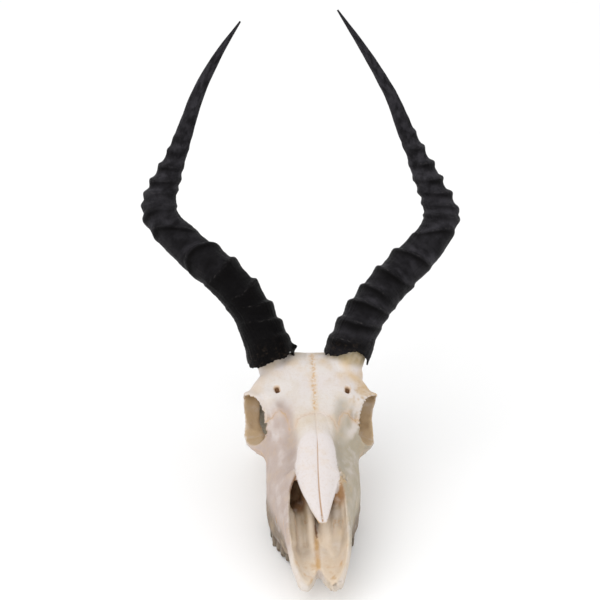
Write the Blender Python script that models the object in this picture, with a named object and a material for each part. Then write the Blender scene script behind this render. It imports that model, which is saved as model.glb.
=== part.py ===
"""Skull of a male impala without its lower jaw, standing on its cheek teeth.

Sizes are in millimetres, and MM turns them into metres when a mesh is made.
X runs across the skull, the muzzle points to -Y, and Z is up from the table.
Y is counted from the tips of the muzzle until the finished object is centred.
"""

import math

import bmesh
import bpy
import numpy as np

MM = 0.001
GAP = 0.3

# Middle of the whole object's box in skull measure, which becomes the origin
BOX_CENTRE_X = -5.42
BOX_CENTRE_Y = 184.39

# Outline of the face and braincase, right half, as (x, z) from the midline above to the midline below
SKULL_SECTIONS = (
    (2, ((0, 26), (7, 27), (12.5, 27), (15, 25), (14.5, 22.5), (10, 20.5), (0, 20))),
    (12, ((0, 30), (12, 33), (19.5, 32), (21, 28), (19, 22), (14, 18.5), (0, 18))),
    (25, ((0, 37), (14, 40), (23.5, 39), (24.5, 32), (20.5, 22), (15, 17.5), (0, 17.5))),
    (42, ((0, 47), (16, 50), (26.5, 49), (27, 38), (22.5, 25), (17, 18), (0, 18.5))),
    (62, ((0, 60), (16, 61), (26.5, 60), (28.5, 46), (26.5, 29), (21, 19), (0, 20))),
    (78, ((0, 70), (13, 71), (24.5, 69), (32, 53), (32, 32), (26, 20), (0, 21.5))),
    (92, ((0, 79), (11, 79), (21, 77), (33.5, 59), (35, 34), (30, 20), (0, 23))),
    (104, ((0, 84), (12, 83.5), (21, 79.5), (35.5, 62), (37.6, 34), (32, 21), (0, 24))),
    (118, ((0, 90), (11, 89), (19, 83.5), (37, 64), (40.3, 36), (34.5, 22), (0, 25))),
    (136, ((0, 98), (10, 97), (19, 90.5), (37.5, 70), (40.3, 44), (33, 24), (0, 27))),
    (150, ((0, 103.5), (13, 103), (28, 96.5), (39, 82), (37, 54), (26, 32), (0, 31))),
    (163, ((0, 108), (20, 108), (36, 104), (31, 84), (26, 58), (20, 38), (0, 36))),
    (176, ((0, 112.5), (26, 112.5), (44, 107), (30, 88), (25, 64), (18, 42), (0, 38))),
    (189, ((0, 118), (30, 117.5), (54, 102.5), (32, 90), (27, 68), (18, 45), (0, 39))),
    (203, ((0, 125), (28, 124), (44, 111), (36, 95), (31, 70), (18, 47), (0, 39))),
    (218, ((0, 125.5), (25, 125), (37, 111), (35.5, 92), (33, 68), (19, 44), (0, 37))),
    (234, ((0, 116), (20, 114.5), (31, 104), (35, 86), (33.5, 64), (21, 41), (0, 35))),
    (249, ((0, 101), (17, 99.5), (28, 91), (32, 76), (30, 57), (20, 39), (0, 34))),
    (260, ((0, 87), (13, 86), (23, 80), (27, 68), (25, 53), (16, 40), (0, 36))),
    (266, ((0, 76), (8, 75), (15, 71), (17, 63), (15, 53), (9, 45), (0, 43))),
)

# Slight bend of the muzzle to the right: (y, sideways shift)
MUZZLE_BEND = ((0, -0.5), (60, 0.7), (125, 1.75), (160, 0.3), (190, 0))

# Hollow of the nose: open above in front of the nasal bones, roofed by them behind
NOSE_SECTIONS = (
    (-12, ((0, 50), (10, 50), (13, 38), (7, 28), (0, 25.5))),
    (10, ((0, 60), (12, 58), (16, 38), (9, 28), (0, 24.5))),
    (25, ((0, 75), (15, 72), (20.5, 43), (12, 30), (0, 25))),
    (42, ((0, 85), (17, 82), (24, 50), (15, 32.5), (0, 26))),
    (62, ((0, 95), (19, 92), (24.5, 60), (19, 34), (0, 27))),
    (80, ((0, 104), (20, 102), (23.5, 70), (26, 38), (0, 28))),
    (94, ((0, 108), (19, 106), (22.5, 78), (29, 42), (0, 29))),
    (99, ((0, 108), (16, 104), (20.5, 80), (30, 44), (0, 30))),
    (105, ((0, 80), (11, 78), (18, 70), (30, 45), (0, 30))),
    (120, ((0, 84), (8, 82), (17, 72), (31, 46), (0, 32))),
    (140, ((0, 88), (6, 86), (14, 74), (18, 52), (0, 38))),
)
CHOANA_PATH = ((0, 128, 40), (0, 146, 37), (0, 160, 27), (0, 168, 14))
CHOANA_RADII = ((9, 9), (9, 8), (10, 8), (11, 10))
NOTCH_START = -4
NOTCH_END = 31
NOTCH_HALF_WIDTH = 11
NOTCH_APEX = 2.4
NOTCH_HEIGHTS = (5, 60)

# Nasal bones, a pair of arched blades: (y, middle x, middle z, half width, drop at the edge)
NASAL_SECTIONS = (
    (50, 4.8, 59.5, 3.6, 0.8),
    (59, 3.8, 64.5, 7.8, 2.0),
    (70, 2.6, 70, 12.4, 3.4),
    (82, 1.4, 76, 16.8, 4.8),
    (94, 0.5, 82, 19.6, 5.8),
    (106, -0.4, 87.5, 20.2, 5.8),
    (120, -0.8, 94, 16.4, 4.4),
    (136, -0.6, 101, 12.5, 3.2),
    (152, 0, 105.5, 7.5, 1.5),
)
NASAL_THICKNESS = 3.2
NASAL_EDGE_THINNING = 0.35
NASAL_SWELL = 0.05
NASAL_COLUMNS = 7

# Rim of the right eye socket as a closed line, and the bar behind it
ORBIT_RIM = (
    (39.5, 148, 83),
    (40, 158, 97),
    (45, 173, 105.5),
    (55.5, 187, 102),
    (58, 192, 88),
    (57, 191, 72),
    (55.5, 180, 62.5),
    (53, 163, 64),
    (47, 152, 71),
)
ORBIT_RIM_RADIUS = 2.8
BAR_PATH = ((49.5, 192, 100), (51, 193, 86), (51, 193, 74), (50.5, 192, 62))
BAR_RADII = ((8, 2.6), (7, 2.4), (7, 2.4), (8, 2.8))
ORBIT_FLOOR_PATH = ((44, 153, 70), (45, 164, 67.5), (46.5, 180, 66), (48.5, 193, 65))
ORBIT_FLOOR_RADII = ((5, 5), (8.5, 3.2), (8.5, 2.8), (8, 2.8))

# Cheek arch from the maxilla under the eye socket to the ear region: path and (across, up) radii
CHEEK_PATH = (
    (31, 128, 45), (33, 140, 58), (39.5, 149, 67), (49.5, 159, 66), (53.5, 178, 62),
    (54.5, 196, 61), (51.5, 212, 63), (45, 226, 64), (35, 236, 62),
)
CHEEK_RADII = (
    (6, 9), (6.5, 9), (5.5, 7.5), (4.4, 6), (3.3, 5.2), (3, 5.2), (3, 5), (4.5, 4.5), (6, 6),
)
LACRIMAL_PATH = ((34, 144, 89), (38, 147, 80), (43, 151, 73), (47, 156, 67))
LACRIMAL_RADII = ((5, 5), (5, 4.5), (5, 4.5), (5, 4.5))

# Base of the horn: a bony neck that rises from the frontal bone
NECK_PATH = ((22, 204, 90), (26, 207, 100), (29.5, 210, 109), (32.5, 213, 116.5))
NECK_RADII = ((17, 20), (20, 21), (19.4, 19.6), (16.6, 16.6))

# Back of the skull
NUCHAL_CREST_PATH = ((33, 250, 58), (29, 257, 74), (17, 262, 84), (0, 263, 87))
NUCHAL_CREST_RADIUS = 3.2
CONDYLE_CENTRE = (12.5, 259, 41)
CONDYLE_RADII = (9.5, 10, 11)
OCCIPUT_CENTRE = (0, 254, 58)
OCCIPUT_RADII = (24, 12, 24)
PARACONDYLAR_PATH = ((27, 244, 50), (27.5, 248, 34), (26.5, 251, 16), (25, 252, -4))
PARACONDYLAR_RADII = ((6, 8), (5, 7), (3.8, 5.4), (3, 4.4))
BULLA_CENTRE = (19.5, 230, 34)
BULLA_RADII = (9, 13, 12)
EAR_PATH = ((26, 236, 52), (34, 238, 52), (41, 239, 55))
EAR_RADII = ((9, 10), (7, 8), (5, 5.5))
FORAMEN_MAGNUM_PATH = ((0, 240, 55), (0, 258, 53), (0, 280, 47))
FORAMEN_MAGNUM_RADII = ((8, 7.5), (9, 8.5), (10, 10))
PTERYGOID_PATH = ((14, 146, 24), (13, 158, 27), (12.5, 172, 31), (13, 190, 38))
PTERYGOID_RADII = ((2.6, 9), (2.2, 10), (2.2, 9), (2.6, 5))
FACIAL_TUBER_CENTRE = (36, 118, 28)
FACIAL_TUBER_RADII = (5.3, 12, 8)
SEPTUM_PATH = ((0, 36, 23.5), (0, 56, 27), (0, 84, 33), (0, 112, 40), (0, 140, 50))
SEPTUM_RADII = ((2.6, 3.4), (2.6, 4.5), (2, 8), (1.8, 12), (1.8, 14))
CONCHA_PATH = ((11, 58, 26), (12.5, 74, 34), (13.5, 90, 45), (12, 118, 58), (9, 140, 62))
CONCHA_RADII = ((4, 3), (7, 8), (8.5, 14), (7, 17), (5, 12))

# Cheek teeth, front to back: name, y of both ends, x of the outer and inner side, height of the worn face
TEETH = (
    ("premolar_2", 72.0, 79.8, 26.0, 19.6, 3.0),
    ("premolar_3", 80.4, 88.8, 29.0, 21.0, 2.0),
    ("premolar_4", 89.4, 97.8, 32.2, 22.4, 1.0),
    ("molar_1", 98.4, 110.8, 35.6, 23.6, 0.0),
    ("molar_2", 111.4, 126.8, 37.0, 23.8, 0.0),
    ("molar_3", 127.4, 144.4, 36.6, 24.2, 0.0),
)
ROOT_TOP = 19.0
ALVEOLAR_EDGE = 12.5
ALVEOLAR_LIP = 2.6
TOOTH_CORNER = 2.2
TOOTH_NECK_INSET = 0.18

# Horns: centre line of each sheath from its lower edge to its tip
LEFT_HORN = (
    (-34, 214, 121), (-37, 219, 133), (-44, 229, 147), (-57, 244, 165), (-79, 263, 182), (-100, 281, 191),
    (-114.5, 294, 199.5), (-126, 302, 208.5), (-133, 309.5, 220), (-131.5, 317, 234), (-124.5, 325, 250),
    (-116, 333, 271), (-107, 342, 297), (-97, 349, 324), (-80, 356, 356), (-62.5, 360.5, 383.3),
)
RIGHT_HORN = (
    (33, 214, 124), (37, 219, 135), (44, 229, 147), (55, 244, 158), (72, 264, 170), (91, 282, 182),
    (106, 294, 192), (116.5, 303, 202.5), (122, 311, 215), (118.5, 318, 228), (109.5, 325, 245),
    (99, 333, 266), (87, 341, 290), (74, 348, 319), (50, 357, 357), (24, 366, 393),
)
# Distance along the horn of each growth ring's crest
LEFT_RINGS = (17, 33, 48, 65, 90, 115, 137, 158, 174, 189, 204, 219, 235)
RIGHT_RINGS = (15, 29, 46, 63, 86, 111, 131, 152, 168, 185, 203, 219, 235, 249)
# Radius of each sheath as (share of the horn's length, radius)
LEFT_RADII = (
    (0.0, 21.4), (0.04, 20.3), (0.09, 18.8), (0.14, 17.9), (0.2, 17.6), (0.26, 17.8), (0.31, 17.0),
    (0.36, 16.2), (0.4, 15.9), (0.44, 14.9), (0.475, 15.6), (0.505, 15.2), (0.535, 13.4), (0.56, 12.2),
    (0.59, 10.6), (0.62, 9.3), (0.66, 8.4), (0.71, 7.2), (0.76, 6.4), (0.82, 5.4), (0.87, 4.4),
    (0.93, 2.8), (1.0, 0.8),
)
RIGHT_RADII = (
    (0.0, 21.0), (0.04, 20.2), (0.09, 18.6), (0.14, 17.9), (0.2, 17.8), (0.26, 17.5), (0.31, 16.9),
    (0.36, 16.1), (0.4, 15.3), (0.435, 16.2), (0.465, 15.2), (0.495, 12.9), (0.53, 12.0), (0.56, 10.9),
    (0.59, 9.4), (0.62, 8.3), (0.66, 7.5), (0.71, 6.5), (0.76, 5.7), (0.82, 4.8), (0.87, 3.9),
    (0.93, 2.6), (1.0, 0.8),
)
# Strength of the rings and tilt of their planes, both as (share of the horn's length, value)
RING_FADE = ((0.0, 0.6), (0.11, 1.0), (0.5, 0.9), (0.7, 0.25))
REAR_EDGE_RISE = 7.0
RING_LEAN = ((0.0, REAR_EDGE_RISE / 2), (0.08, 5.0), (0.6, 2.0), (0.75, 0.0))
RING_HEIGHT = 2.3
RING_HALF_WIDTH = 5.0
FRAME_REACH = 14.0
SHEATH_SIDES = 12
TIP_SECTIONS = 8
CAVITY_LENGTH = 150.0
CAVITY_STEP = 18.75
CORE_GAP = 0.9
SHEATH_WALL = ((0, 2.2), (20, 3.2), (CAVITY_LENGTH, 7.0))
CORE_ROOT = -22.0
SEAT_MARGIN = 2.5
SEAT_PLACES = (14, 28, 42)

# Surface that the skull stands on, as a slab that trims what reaches below it
TABLE_HALF_WIDTH = 90
TABLE_ENDS = (-20, 300)
TABLE_DEPTH = 30

# Fineness of the bone's surface
VOXEL = 2.0
FINE_VOXEL = 1.8
SMOOTH_STEPS = 6
BONE_SHARE_KEPT = 0.058

BONE_COLOUR = (0.78, 0.72, 0.62, 1)
HORN_COLOUR = (0.012, 0.011, 0.012, 1)
TOOTH_COLOUR = (0.55, 0.48, 0.40, 1)


def clear_scene():
    """Remove every object that the file opened with."""
    for thing in list(bpy.data.objects):
        bpy.data.objects.remove(thing, do_unlink=True)


def make_material(name, colour, roughness):
    """Return a Principled material."""
    material = bpy.data.materials.new(name)
    material.use_nodes = True
    shader = material.node_tree.nodes["Principled BSDF"]
    shader.inputs["Base Color"].default_value = colour
    shader.inputs["Roughness"].default_value = roughness
    shader.inputs["Metallic"].default_value = 0.0
    material.diffuse_color = colour
    return material


def smooth_line(points, per_span, closed=False):
    """Return points on a Catmull-Rom curve through the given ones, per_span to each span."""
    points = np.asarray(points, float)
    if closed:
        spans = len(points)
        padded = np.vstack([points[-1:], points, points[:2]])
    else:
        spans = len(points) - 1
        padded = np.vstack([2 * points[0] - points[1], points, 2 * points[-1] - points[-2]])
    line = []
    for span in range(spans):
        before, start, end, after = padded[span:span + 4]
        for step in range(per_span):
            t = step / per_span
            line.append(0.5 * (
                2 * start + (end - before) * t
                + (2 * before - 5 * start + 4 * end - after) * t ** 2
                + (3 * start - before - 3 * end + after) * t ** 3
            ))
    if not closed:
        line.append(points[-1])
    return np.array(line)


def bent(point):
    """Return a point shifted sideways by the bend of the muzzle."""
    x, y, z = point
    ys, shifts = zip(*MUZZLE_BEND)
    return (x + np.interp(y, ys, shifts), y, z)


def add_loft(shape, rings, closed=False):
    """Add a body whose skin runs over the rings of points, with capped or joined ends."""
    corners = [[shape.verts.new(np.multiply(bent(point), MM)) for point in ring] for ring in rings]
    joined = list(zip(corners, corners[1:]))
    if closed:
        joined.append((corners[-1], corners[0]))
    faces = []
    for first, second in joined:
        for i in range(len(first)):
            j = (i + 1) % len(first)
            faces.append(shape.faces.new((first[i], first[j], second[j], second[i])))
    if not closed:
        faces.append(shape.faces.new(corners[0][::-1]))
        faces.append(shape.faces.new(corners[-1]))
    bmesh.ops.recalc_face_normals(shape, faces=faces)


def side_points(points, side):
    """Return points of the right side moved to the side asked for, -1 or 1."""
    return np.asarray(points, float) * (side, 1, 1)


def add_tube(shape, path, radii, sides=16, per_span=4):
    """Add a bar of oval section along a smooth path, with (across, up) radii at each of its points."""
    line = smooth_line(path, per_span)
    sizes = smooth_line(radii, per_span)
    along = np.gradient(line, axis=0)
    along /= np.linalg.norm(along, axis=1)[:, None]
    upright = abs(along[:, 2]).mean() > 0.75
    reference = (0, 1, 0) if upright else (0, 0, 1)
    across = np.cross(along, reference)
    across /= np.linalg.norm(across, axis=1)[:, None]
    up = np.cross(across, along)
    turn = np.linspace(0, 2 * math.pi, sides, endpoint=False)
    rings = [
        centre + np.outer(np.cos(turn) * size[0], right) + np.outer(np.sin(turn) * size[1], high)
        for centre, size, right, high in zip(line, sizes, across, up)
    ]
    add_loft(shape, rings)


def add_hoop(shape, path, radius, sides=10, per_span=5):
    """Add a closed ring of round section along a smooth closed path."""
    line = smooth_line(path, per_span, closed=True)
    middle = line.mean(axis=0)
    along = np.roll(line, -1, axis=0) - np.roll(line, 1, axis=0)
    along /= np.linalg.norm(along, axis=1)[:, None]
    outward = line - middle
    outward -= (outward * along).sum(axis=1)[:, None] * along
    outward /= np.linalg.norm(outward, axis=1)[:, None]
    aside = np.cross(along, outward)
    turn = np.linspace(0, 2 * math.pi, sides, endpoint=False)
    rings = [
        centre + radius * (np.outer(np.cos(turn), out) + np.outer(np.sin(turn), other))
        for centre, out, other in zip(line, outward, aside)
    ]
    add_loft(shape, rings, closed=True)


def add_ball(shape, centre, radii):
    """Add an ellipsoid."""
    made = bmesh.ops.create_uvsphere(shape, u_segments=20, v_segments=12, radius=1)
    for vertex in made["verts"]:
        vertex.co = np.multiply(bent([c + r * v for c, r, v in zip(centre, radii, vertex.co)]), MM)


def mirrored_ring(half):
    """Return a whole section outline from its right half, smooth all round."""
    half = np.asarray(half, float)
    left = half[-2:0:-1] * (-1, 1)
    return smooth_line(np.vstack([half, left]), 4, closed=True)


def add_sections(shape, sections, per_span=5):
    """Add a body from a table of half outlines at stations along Y."""
    stations = [np.column_stack([np.full(len(half), y), half]).ravel() for y, half in sections]
    halves = smooth_line(stations, per_span)
    rings = []
    for flat in halves:
        table = flat.reshape(-1, 3)
        outline = mirrored_ring(table[:, 1:])
        rings.append(np.column_stack([outline[:, 0], np.full(len(outline), table[0, 0]), outline[:, 1]]))
    add_loft(shape, rings)


def new_object(name, shape, material=None):
    """Turn a bmesh into an object of the scene."""
    mesh = bpy.data.meshes.new(name)
    shape.to_mesh(mesh)
    shape.free()
    thing = bpy.data.objects.new(name, mesh)
    bpy.context.scene.collection.objects.link(thing)
    if material:
        mesh.materials.append(material)
    return thing


def new_cutter(name, shape):
    """Turn a bmesh into a helper that only cuts or joins."""
    thing = new_object(name, shape)
    thing.hide_render = True
    thing.display_type = "WIRE"
    return thing


def face_and_braincase(shape):
    """Add the main form of the skull."""
    add_sections(shape, SKULL_SECTIONS)


def nasal_bones(shape):
    """Add the pair of arched nasal blades with their twin tips."""
    table = smooth_line(NASAL_SECTIONS, 4)
    for side in (-1, 1):
        rings = []
        for y, middle, crown, half, drop in table:
            across = np.linspace(0.02, 1, NASAL_COLUMNS)
            top = crown - drop * across ** 2 + NASAL_SWELL * half * np.sin(across * math.pi)
            low = top - NASAL_THICKNESS * (1 - NASAL_EDGE_THINNING * across)
            x = middle + side * across * half
            stations = np.full(NASAL_COLUMNS, y)
            upper = np.column_stack([x, stations, top])
            lower = np.column_stack([x, stations, low])[::-1]
            rings.append(np.vstack([upper, lower]))
        add_loft(shape, rings)


def eye_sockets(shape):
    """Add the rims, the bars behind them and the cheek arches on both sides."""
    for side in (-1, 1):
        add_hoop(shape, side_points(ORBIT_RIM, side), ORBIT_RIM_RADIUS)
        add_tube(shape, side_points(BAR_PATH, side), BAR_RADII)
        add_tube(shape, side_points(ORBIT_FLOOR_PATH, side), ORBIT_FLOOR_RADII)
        add_tube(shape, side_points(CHEEK_PATH, side), CHEEK_RADII)
        add_tube(shape, side_points(LACRIMAL_PATH, side), LACRIMAL_RADII)
        add_ball(shape, side_points(FACIAL_TUBER_CENTRE, side), FACIAL_TUBER_RADII)


def inside_of_nose(shape):
    """Add the septum and the thin scrolls that stand in the hollow of the nose."""
    add_tube(shape, SEPTUM_PATH, SEPTUM_RADII)
    for side in (-1, 1):
        add_tube(shape, side_points(CONCHA_PATH, side), CONCHA_RADII)


def back_of_skull(shape):
    """Add the crest, condyles, side processes, ear region and the plates behind the palate."""
    crest = np.vstack([side_points(NUCHAL_CREST_PATH, -1)[:-1], side_points(NUCHAL_CREST_PATH, 1)[::-1]])
    add_tube(shape, crest, [(NUCHAL_CREST_RADIUS, NUCHAL_CREST_RADIUS)] * len(crest))
    add_ball(shape, OCCIPUT_CENTRE, OCCIPUT_RADII)
    for side in (-1, 1):
        add_ball(shape, side_points(CONDYLE_CENTRE, side), CONDYLE_RADII)
        add_ball(shape, side_points(BULLA_CENTRE, side), BULLA_RADII)
        add_tube(shape, side_points(PARACONDYLAR_PATH, side), PARACONDYLAR_RADII)
        add_tube(shape, side_points(EAR_PATH, side), EAR_RADII)
        add_tube(shape, side_points(PTERYGOID_PATH, side), PTERYGOID_RADII)


def horn_necks(shape):
    """Add the bony necks under the horns."""
    for side in (-1, 1):
        add_tube(shape, side_points(NECK_PATH, side), NECK_RADII, sides=20)


def tooth_rows(shape):
    """Add the ledges of bone that hold the cheek teeth."""
    for side in (-1, 1):
        rings = []
        first, last = TEETH[0], TEETH[-1]
        stations = [(first[1] - 4, first[3] - 1, first[4] + 1)]
        stations += [((start + end) / 2, outer, inner) for _, start, end, outer, inner, _ in TEETH]
        stations += [(last[2] + 5, last[3] - 2, last[4] + 1)]
        for y, outer, inner in smooth_line(stations, 3):
            out = outer + ALVEOLAR_LIP
            into = inner - ALVEOLAR_LIP
            low = ALVEOLAR_EDGE
            outline = ((out, 30), (out + 1, 20), (out - 0.6, low + 0.8), (out - 1.6, low),
                       (into + 1.6, low), (into + 0.6, low + 0.8), (into - 1, 20), (into - 2, 30))
            rings.append([(side * x, y, z) for x, z in outline])
        add_loft(shape, rings)


class Horn:
    """Centre line, frames and radii of one horn."""

    def __init__(self, path, rings, radii):
        self.line = smooth_line(path, 12)
        steps = np.linalg.norm(np.diff(self.line, axis=0), axis=1)
        self.distance = np.concatenate([[0], np.cumsum(steps)])
        self.length = self.distance[-1]
        self.rings = np.array(rings, float)
        self.radii = radii
        self.first_direction = self.line[1] - self.line[0]
        self.first_direction /= np.linalg.norm(self.first_direction)

    def centre(self, s):
        """Return the point of the centre line at distance s, also before its start."""
        if s < 0:
            return self.line[0] + self.first_direction * s
        return np.array([np.interp(s, self.distance, self.line[:, axis]) for axis in range(3)])

    def frame(self, s):
        """Return the front and side directions square to the eased centre line at s."""
        along = self.centre(s + FRAME_REACH) - self.centre(s - FRAME_REACH)
        along /= np.linalg.norm(along)
        front = np.array((0.0, -1.0, 0.0))
        front -= front.dot(along) * along
        front /= np.linalg.norm(front)
        return front, np.cross(along, front)

    def at_share(self, s, table):
        """Return the value that a table of (share of the length, value) gives at s."""
        shares, values = zip(*table)
        return float(np.interp(s / self.length, shares, values))

    def radius(self, s):
        """Return the mean radius of the sheath at s."""
        return self.at_share(s, self.radii)

    def ring_height(self, s):
        """Return how far the growth rings lift the surface at s."""
        lift = np.exp(-((s - self.rings) / RING_HALF_WIDTH) ** 2).max()
        return RING_HEIGHT * (lift - 0.5) * self.at_share(s, RING_FADE)

    def ring_of_points(self, s, radius, lean=0.0, sides=SHEATH_SIDES):
        """Return one section as points: lean moves its front back along the horn and its rear forward."""
        points = []
        for turn in np.linspace(0, 2 * math.pi, sides, endpoint=False):
            place = s - lean * math.cos(turn)
            front, aside = self.frame(place)
            outward = math.cos(turn) * front + math.sin(turn) * aside
            points.append(self.centre(place) + radius * outward)
        return np.array(points)

    def section_places(self):
        """Return the distances of the sections: crests, the hollows between them, then the smooth tip."""
        crests = list(self.rings)
        hollows = [(a + b) / 2 for a, b in zip(self.rings, self.rings[1:])]
        tip = np.linspace(self.rings[-1] + 12, self.length, TIP_SECTIONS)
        return [0.0, 7.0] + sorted(crests + hollows) + list(tip)

    def wall(self, s):
        """Return the thickness of the keratin over the bony core at s."""
        return float(np.interp(s, *zip(*SHEATH_WALL)))

    def cavity_places(self):
        """Return the distances of the sections that the hollow and the bony core share."""
        return list(np.arange(CAVITY_STEP, CAVITY_LENGTH + 1, CAVITY_STEP))

    def edge_ring(self, radius):
        """Return the lower edge of the sheath, which rises at the rear."""
        return self.ring_of_points(REAR_EDGE_RISE / 2, radius, lean=REAR_EDGE_RISE / 2)

    def add_sheath(self, shape):
        """Add the hollow sheath with its growth rings."""
        outer = [self.edge_ring(self.radius(0))]
        for s in self.section_places()[1:]:
            lean = self.at_share(s, RING_LEAN)
            outer.append(self.ring_of_points(s + lean / 2, self.radius(s) + self.ring_height(s), lean))
        inner = [self.edge_ring(self.radius(0) - self.wall(0))]
        inner += [self.ring_of_points(s, self.radius(s) - self.wall(s)) for s in self.cavity_places()]
        add_loft(shape, inner[::-1] + outer)

    def add_seat(self, shape):
        """Add the space that the sheath needs at its lower end, with a small gap all round."""
        tilt = REAR_EDGE_RISE / 2
        rings = [self.ring_of_points(tilt - GAP - 0.1, self.radius(0) + SEAT_MARGIN, tilt)]
        for s in SEAT_PLACES:
            rings.append(self.ring_of_points(s, self.radius(s) + RING_HEIGHT + SEAT_MARGIN))
        add_loft(shape, rings)

    def add_core(self, shape):
        """Add the bony core that stands in the sheath with a small gap all round."""
        rings = [self.ring_of_points(CORE_ROOT, self.radius(0) - self.wall(0) - CORE_GAP - 1)]
        rings.append(self.edge_ring(self.radius(0) - self.wall(0) - CORE_GAP))
        for s in self.cavity_places()[:-1]:
            rings.append(self.ring_of_points(s, self.radius(s) - self.wall(s) - CORE_GAP))
        last = self.cavity_places()[-1]
        rings.append(self.ring_of_points(last - CORE_GAP, self.radius(last) - self.wall(last) - CORE_GAP))
        add_loft(shape, rings)


def tooth_outline(tooth, grow=0.0):
    """Return the eight-sided plan of a tooth, larger by grow on every side."""
    _, start, end, outer, inner, _ = tooth
    start, end, outer, inner = start - grow, end + grow, outer + grow, inner - grow
    corner = TOOTH_CORNER
    return np.array((
        (outer, start + corner), (outer, end - corner), (outer - corner, end), (inner + corner, end),
        (inner, end - corner), (inner, start + corner), (inner + corner, start), (outer - corner, start),
    ))


def add_tooth(shape, tooth, side):
    """Add one tooth from its worn face up to the top of its root."""
    plan = tooth_outline(tooth)
    middle = plan.mean(axis=0)
    worn = tooth[-1]
    rings = []
    profile = ((worn, 0.2), (worn + 2.5, 0.0), (ALVEOLAR_EDGE - 1, 0.06), (ROOT_TOP, TOOTH_NECK_INSET))
    for z, inset in profile:
        outline = middle + (plan - middle) * (1 - inset)
        rings.append([(side * x, y, z) for x, y in outline])
    add_loft(shape, rings)


def add_socket_row(shape, side):
    """Add the trough that the roots of one row stand in."""
    rings = []
    for tooth in TEETH:
        _, start, end, outer, inner, _ = tooth
        for y in (start + 0.1, end - 0.1):
            outline = ((outer, -5), (outer, ROOT_TOP), (inner, ROOT_TOP), (inner, -5))
            rings.append([
                (side * (x + (GAP if x == outer else -GAP)), y, z + (GAP if z == ROOT_TOP else 0))
                for x, z in outline
            ])
    for ring, shift in ((rings[0], -GAP - 0.1), (rings[-1], GAP + 0.1)):
        ring[:] = [(x, y + shift, z) for x, y, z in ring]
    add_loft(shape, rings)


def add_modifier(thing, kind, **settings):
    """Add a modifier with the given settings."""
    modifier = thing.modifiers.new(kind.title(), kind)
    for name, value in settings.items():
        setattr(modifier, name, value)
    return modifier


def cut_or_join(thing, operation, helper):
    """Add a Boolean with the exact solver."""
    add_modifier(thing, "BOOLEAN", operation=operation, object=helper, solver="EXACT")


def nose_hollow(shape):
    """Shape the hollow of the nose."""
    add_sections(shape, NOSE_SECTIONS)


def choana_hollow(shape):
    """Shape the passage from the nose to the throat."""
    add_tube(shape, CHOANA_PATH, CHOANA_RADII)


def foramen_magnum_hollow(shape):
    """Shape the hole for the spinal cord."""
    add_tube(shape, FORAMEN_MAGNUM_PATH, FORAMEN_MAGNUM_RADII)


def muzzle_notch(shape):
    """Shape the wedge between the two tips of the muzzle."""
    plan = (
        (-NOTCH_HALF_WIDTH, NOTCH_START), (NOTCH_HALF_WIDTH, NOTCH_START),
        (NOTCH_APEX, NOTCH_END), (-NOTCH_APEX, NOTCH_END),
    )
    add_loft(shape, [[(x, y, z) for x, y in plan] for z in NOTCH_HEIGHTS])


def hollowed_skull():
    """Return the mesh of the skull's outer form with its hollows cut."""
    shape = bmesh.new()
    face_and_braincase(shape)
    eye_sockets(shape)
    back_of_skull(shape)
    horn_necks(shape)
    tooth_rows(shape)
    form = new_object("outer_form", shape)
    add_modifier(form, "REMESH", mode="VOXEL", voxel_size=VOXEL * MM)
    helpers = []
    for make_hollow in (nose_hollow, choana_hollow, foramen_magnum_hollow, muzzle_notch):
        hollow = bmesh.new()
        make_hollow(hollow)
        helpers.append(new_cutter(make_hollow.__name__, hollow))
        cut_or_join(form, "DIFFERENCE", helpers[-1])
    depsgraph = bpy.context.evaluated_depsgraph_get()
    mesh = bpy.data.meshes.new_from_object(form.evaluated_get(depsgraph))
    for thing in helpers + [form]:
        bpy.data.objects.remove(thing, do_unlink=True)
    return mesh


def build_cranium(bone):
    """Fuse the hollowed skull with the nasal blades and the scrolls inside the nose."""
    shape = bmesh.new()
    shape.from_mesh(hollowed_skull())
    nasal_bones(shape)
    inside_of_nose(shape)
    cranium = new_object("cranium", shape, bone)
    add_modifier(cranium, "REMESH", mode="VOXEL", voxel_size=FINE_VOXEL * MM)
    add_modifier(cranium, "SMOOTH", factor=0.5, iterations=SMOOTH_STEPS)
    add_modifier(cranium, "DECIMATE", ratio=BONE_SHARE_KEPT)
    return cranium


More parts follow.
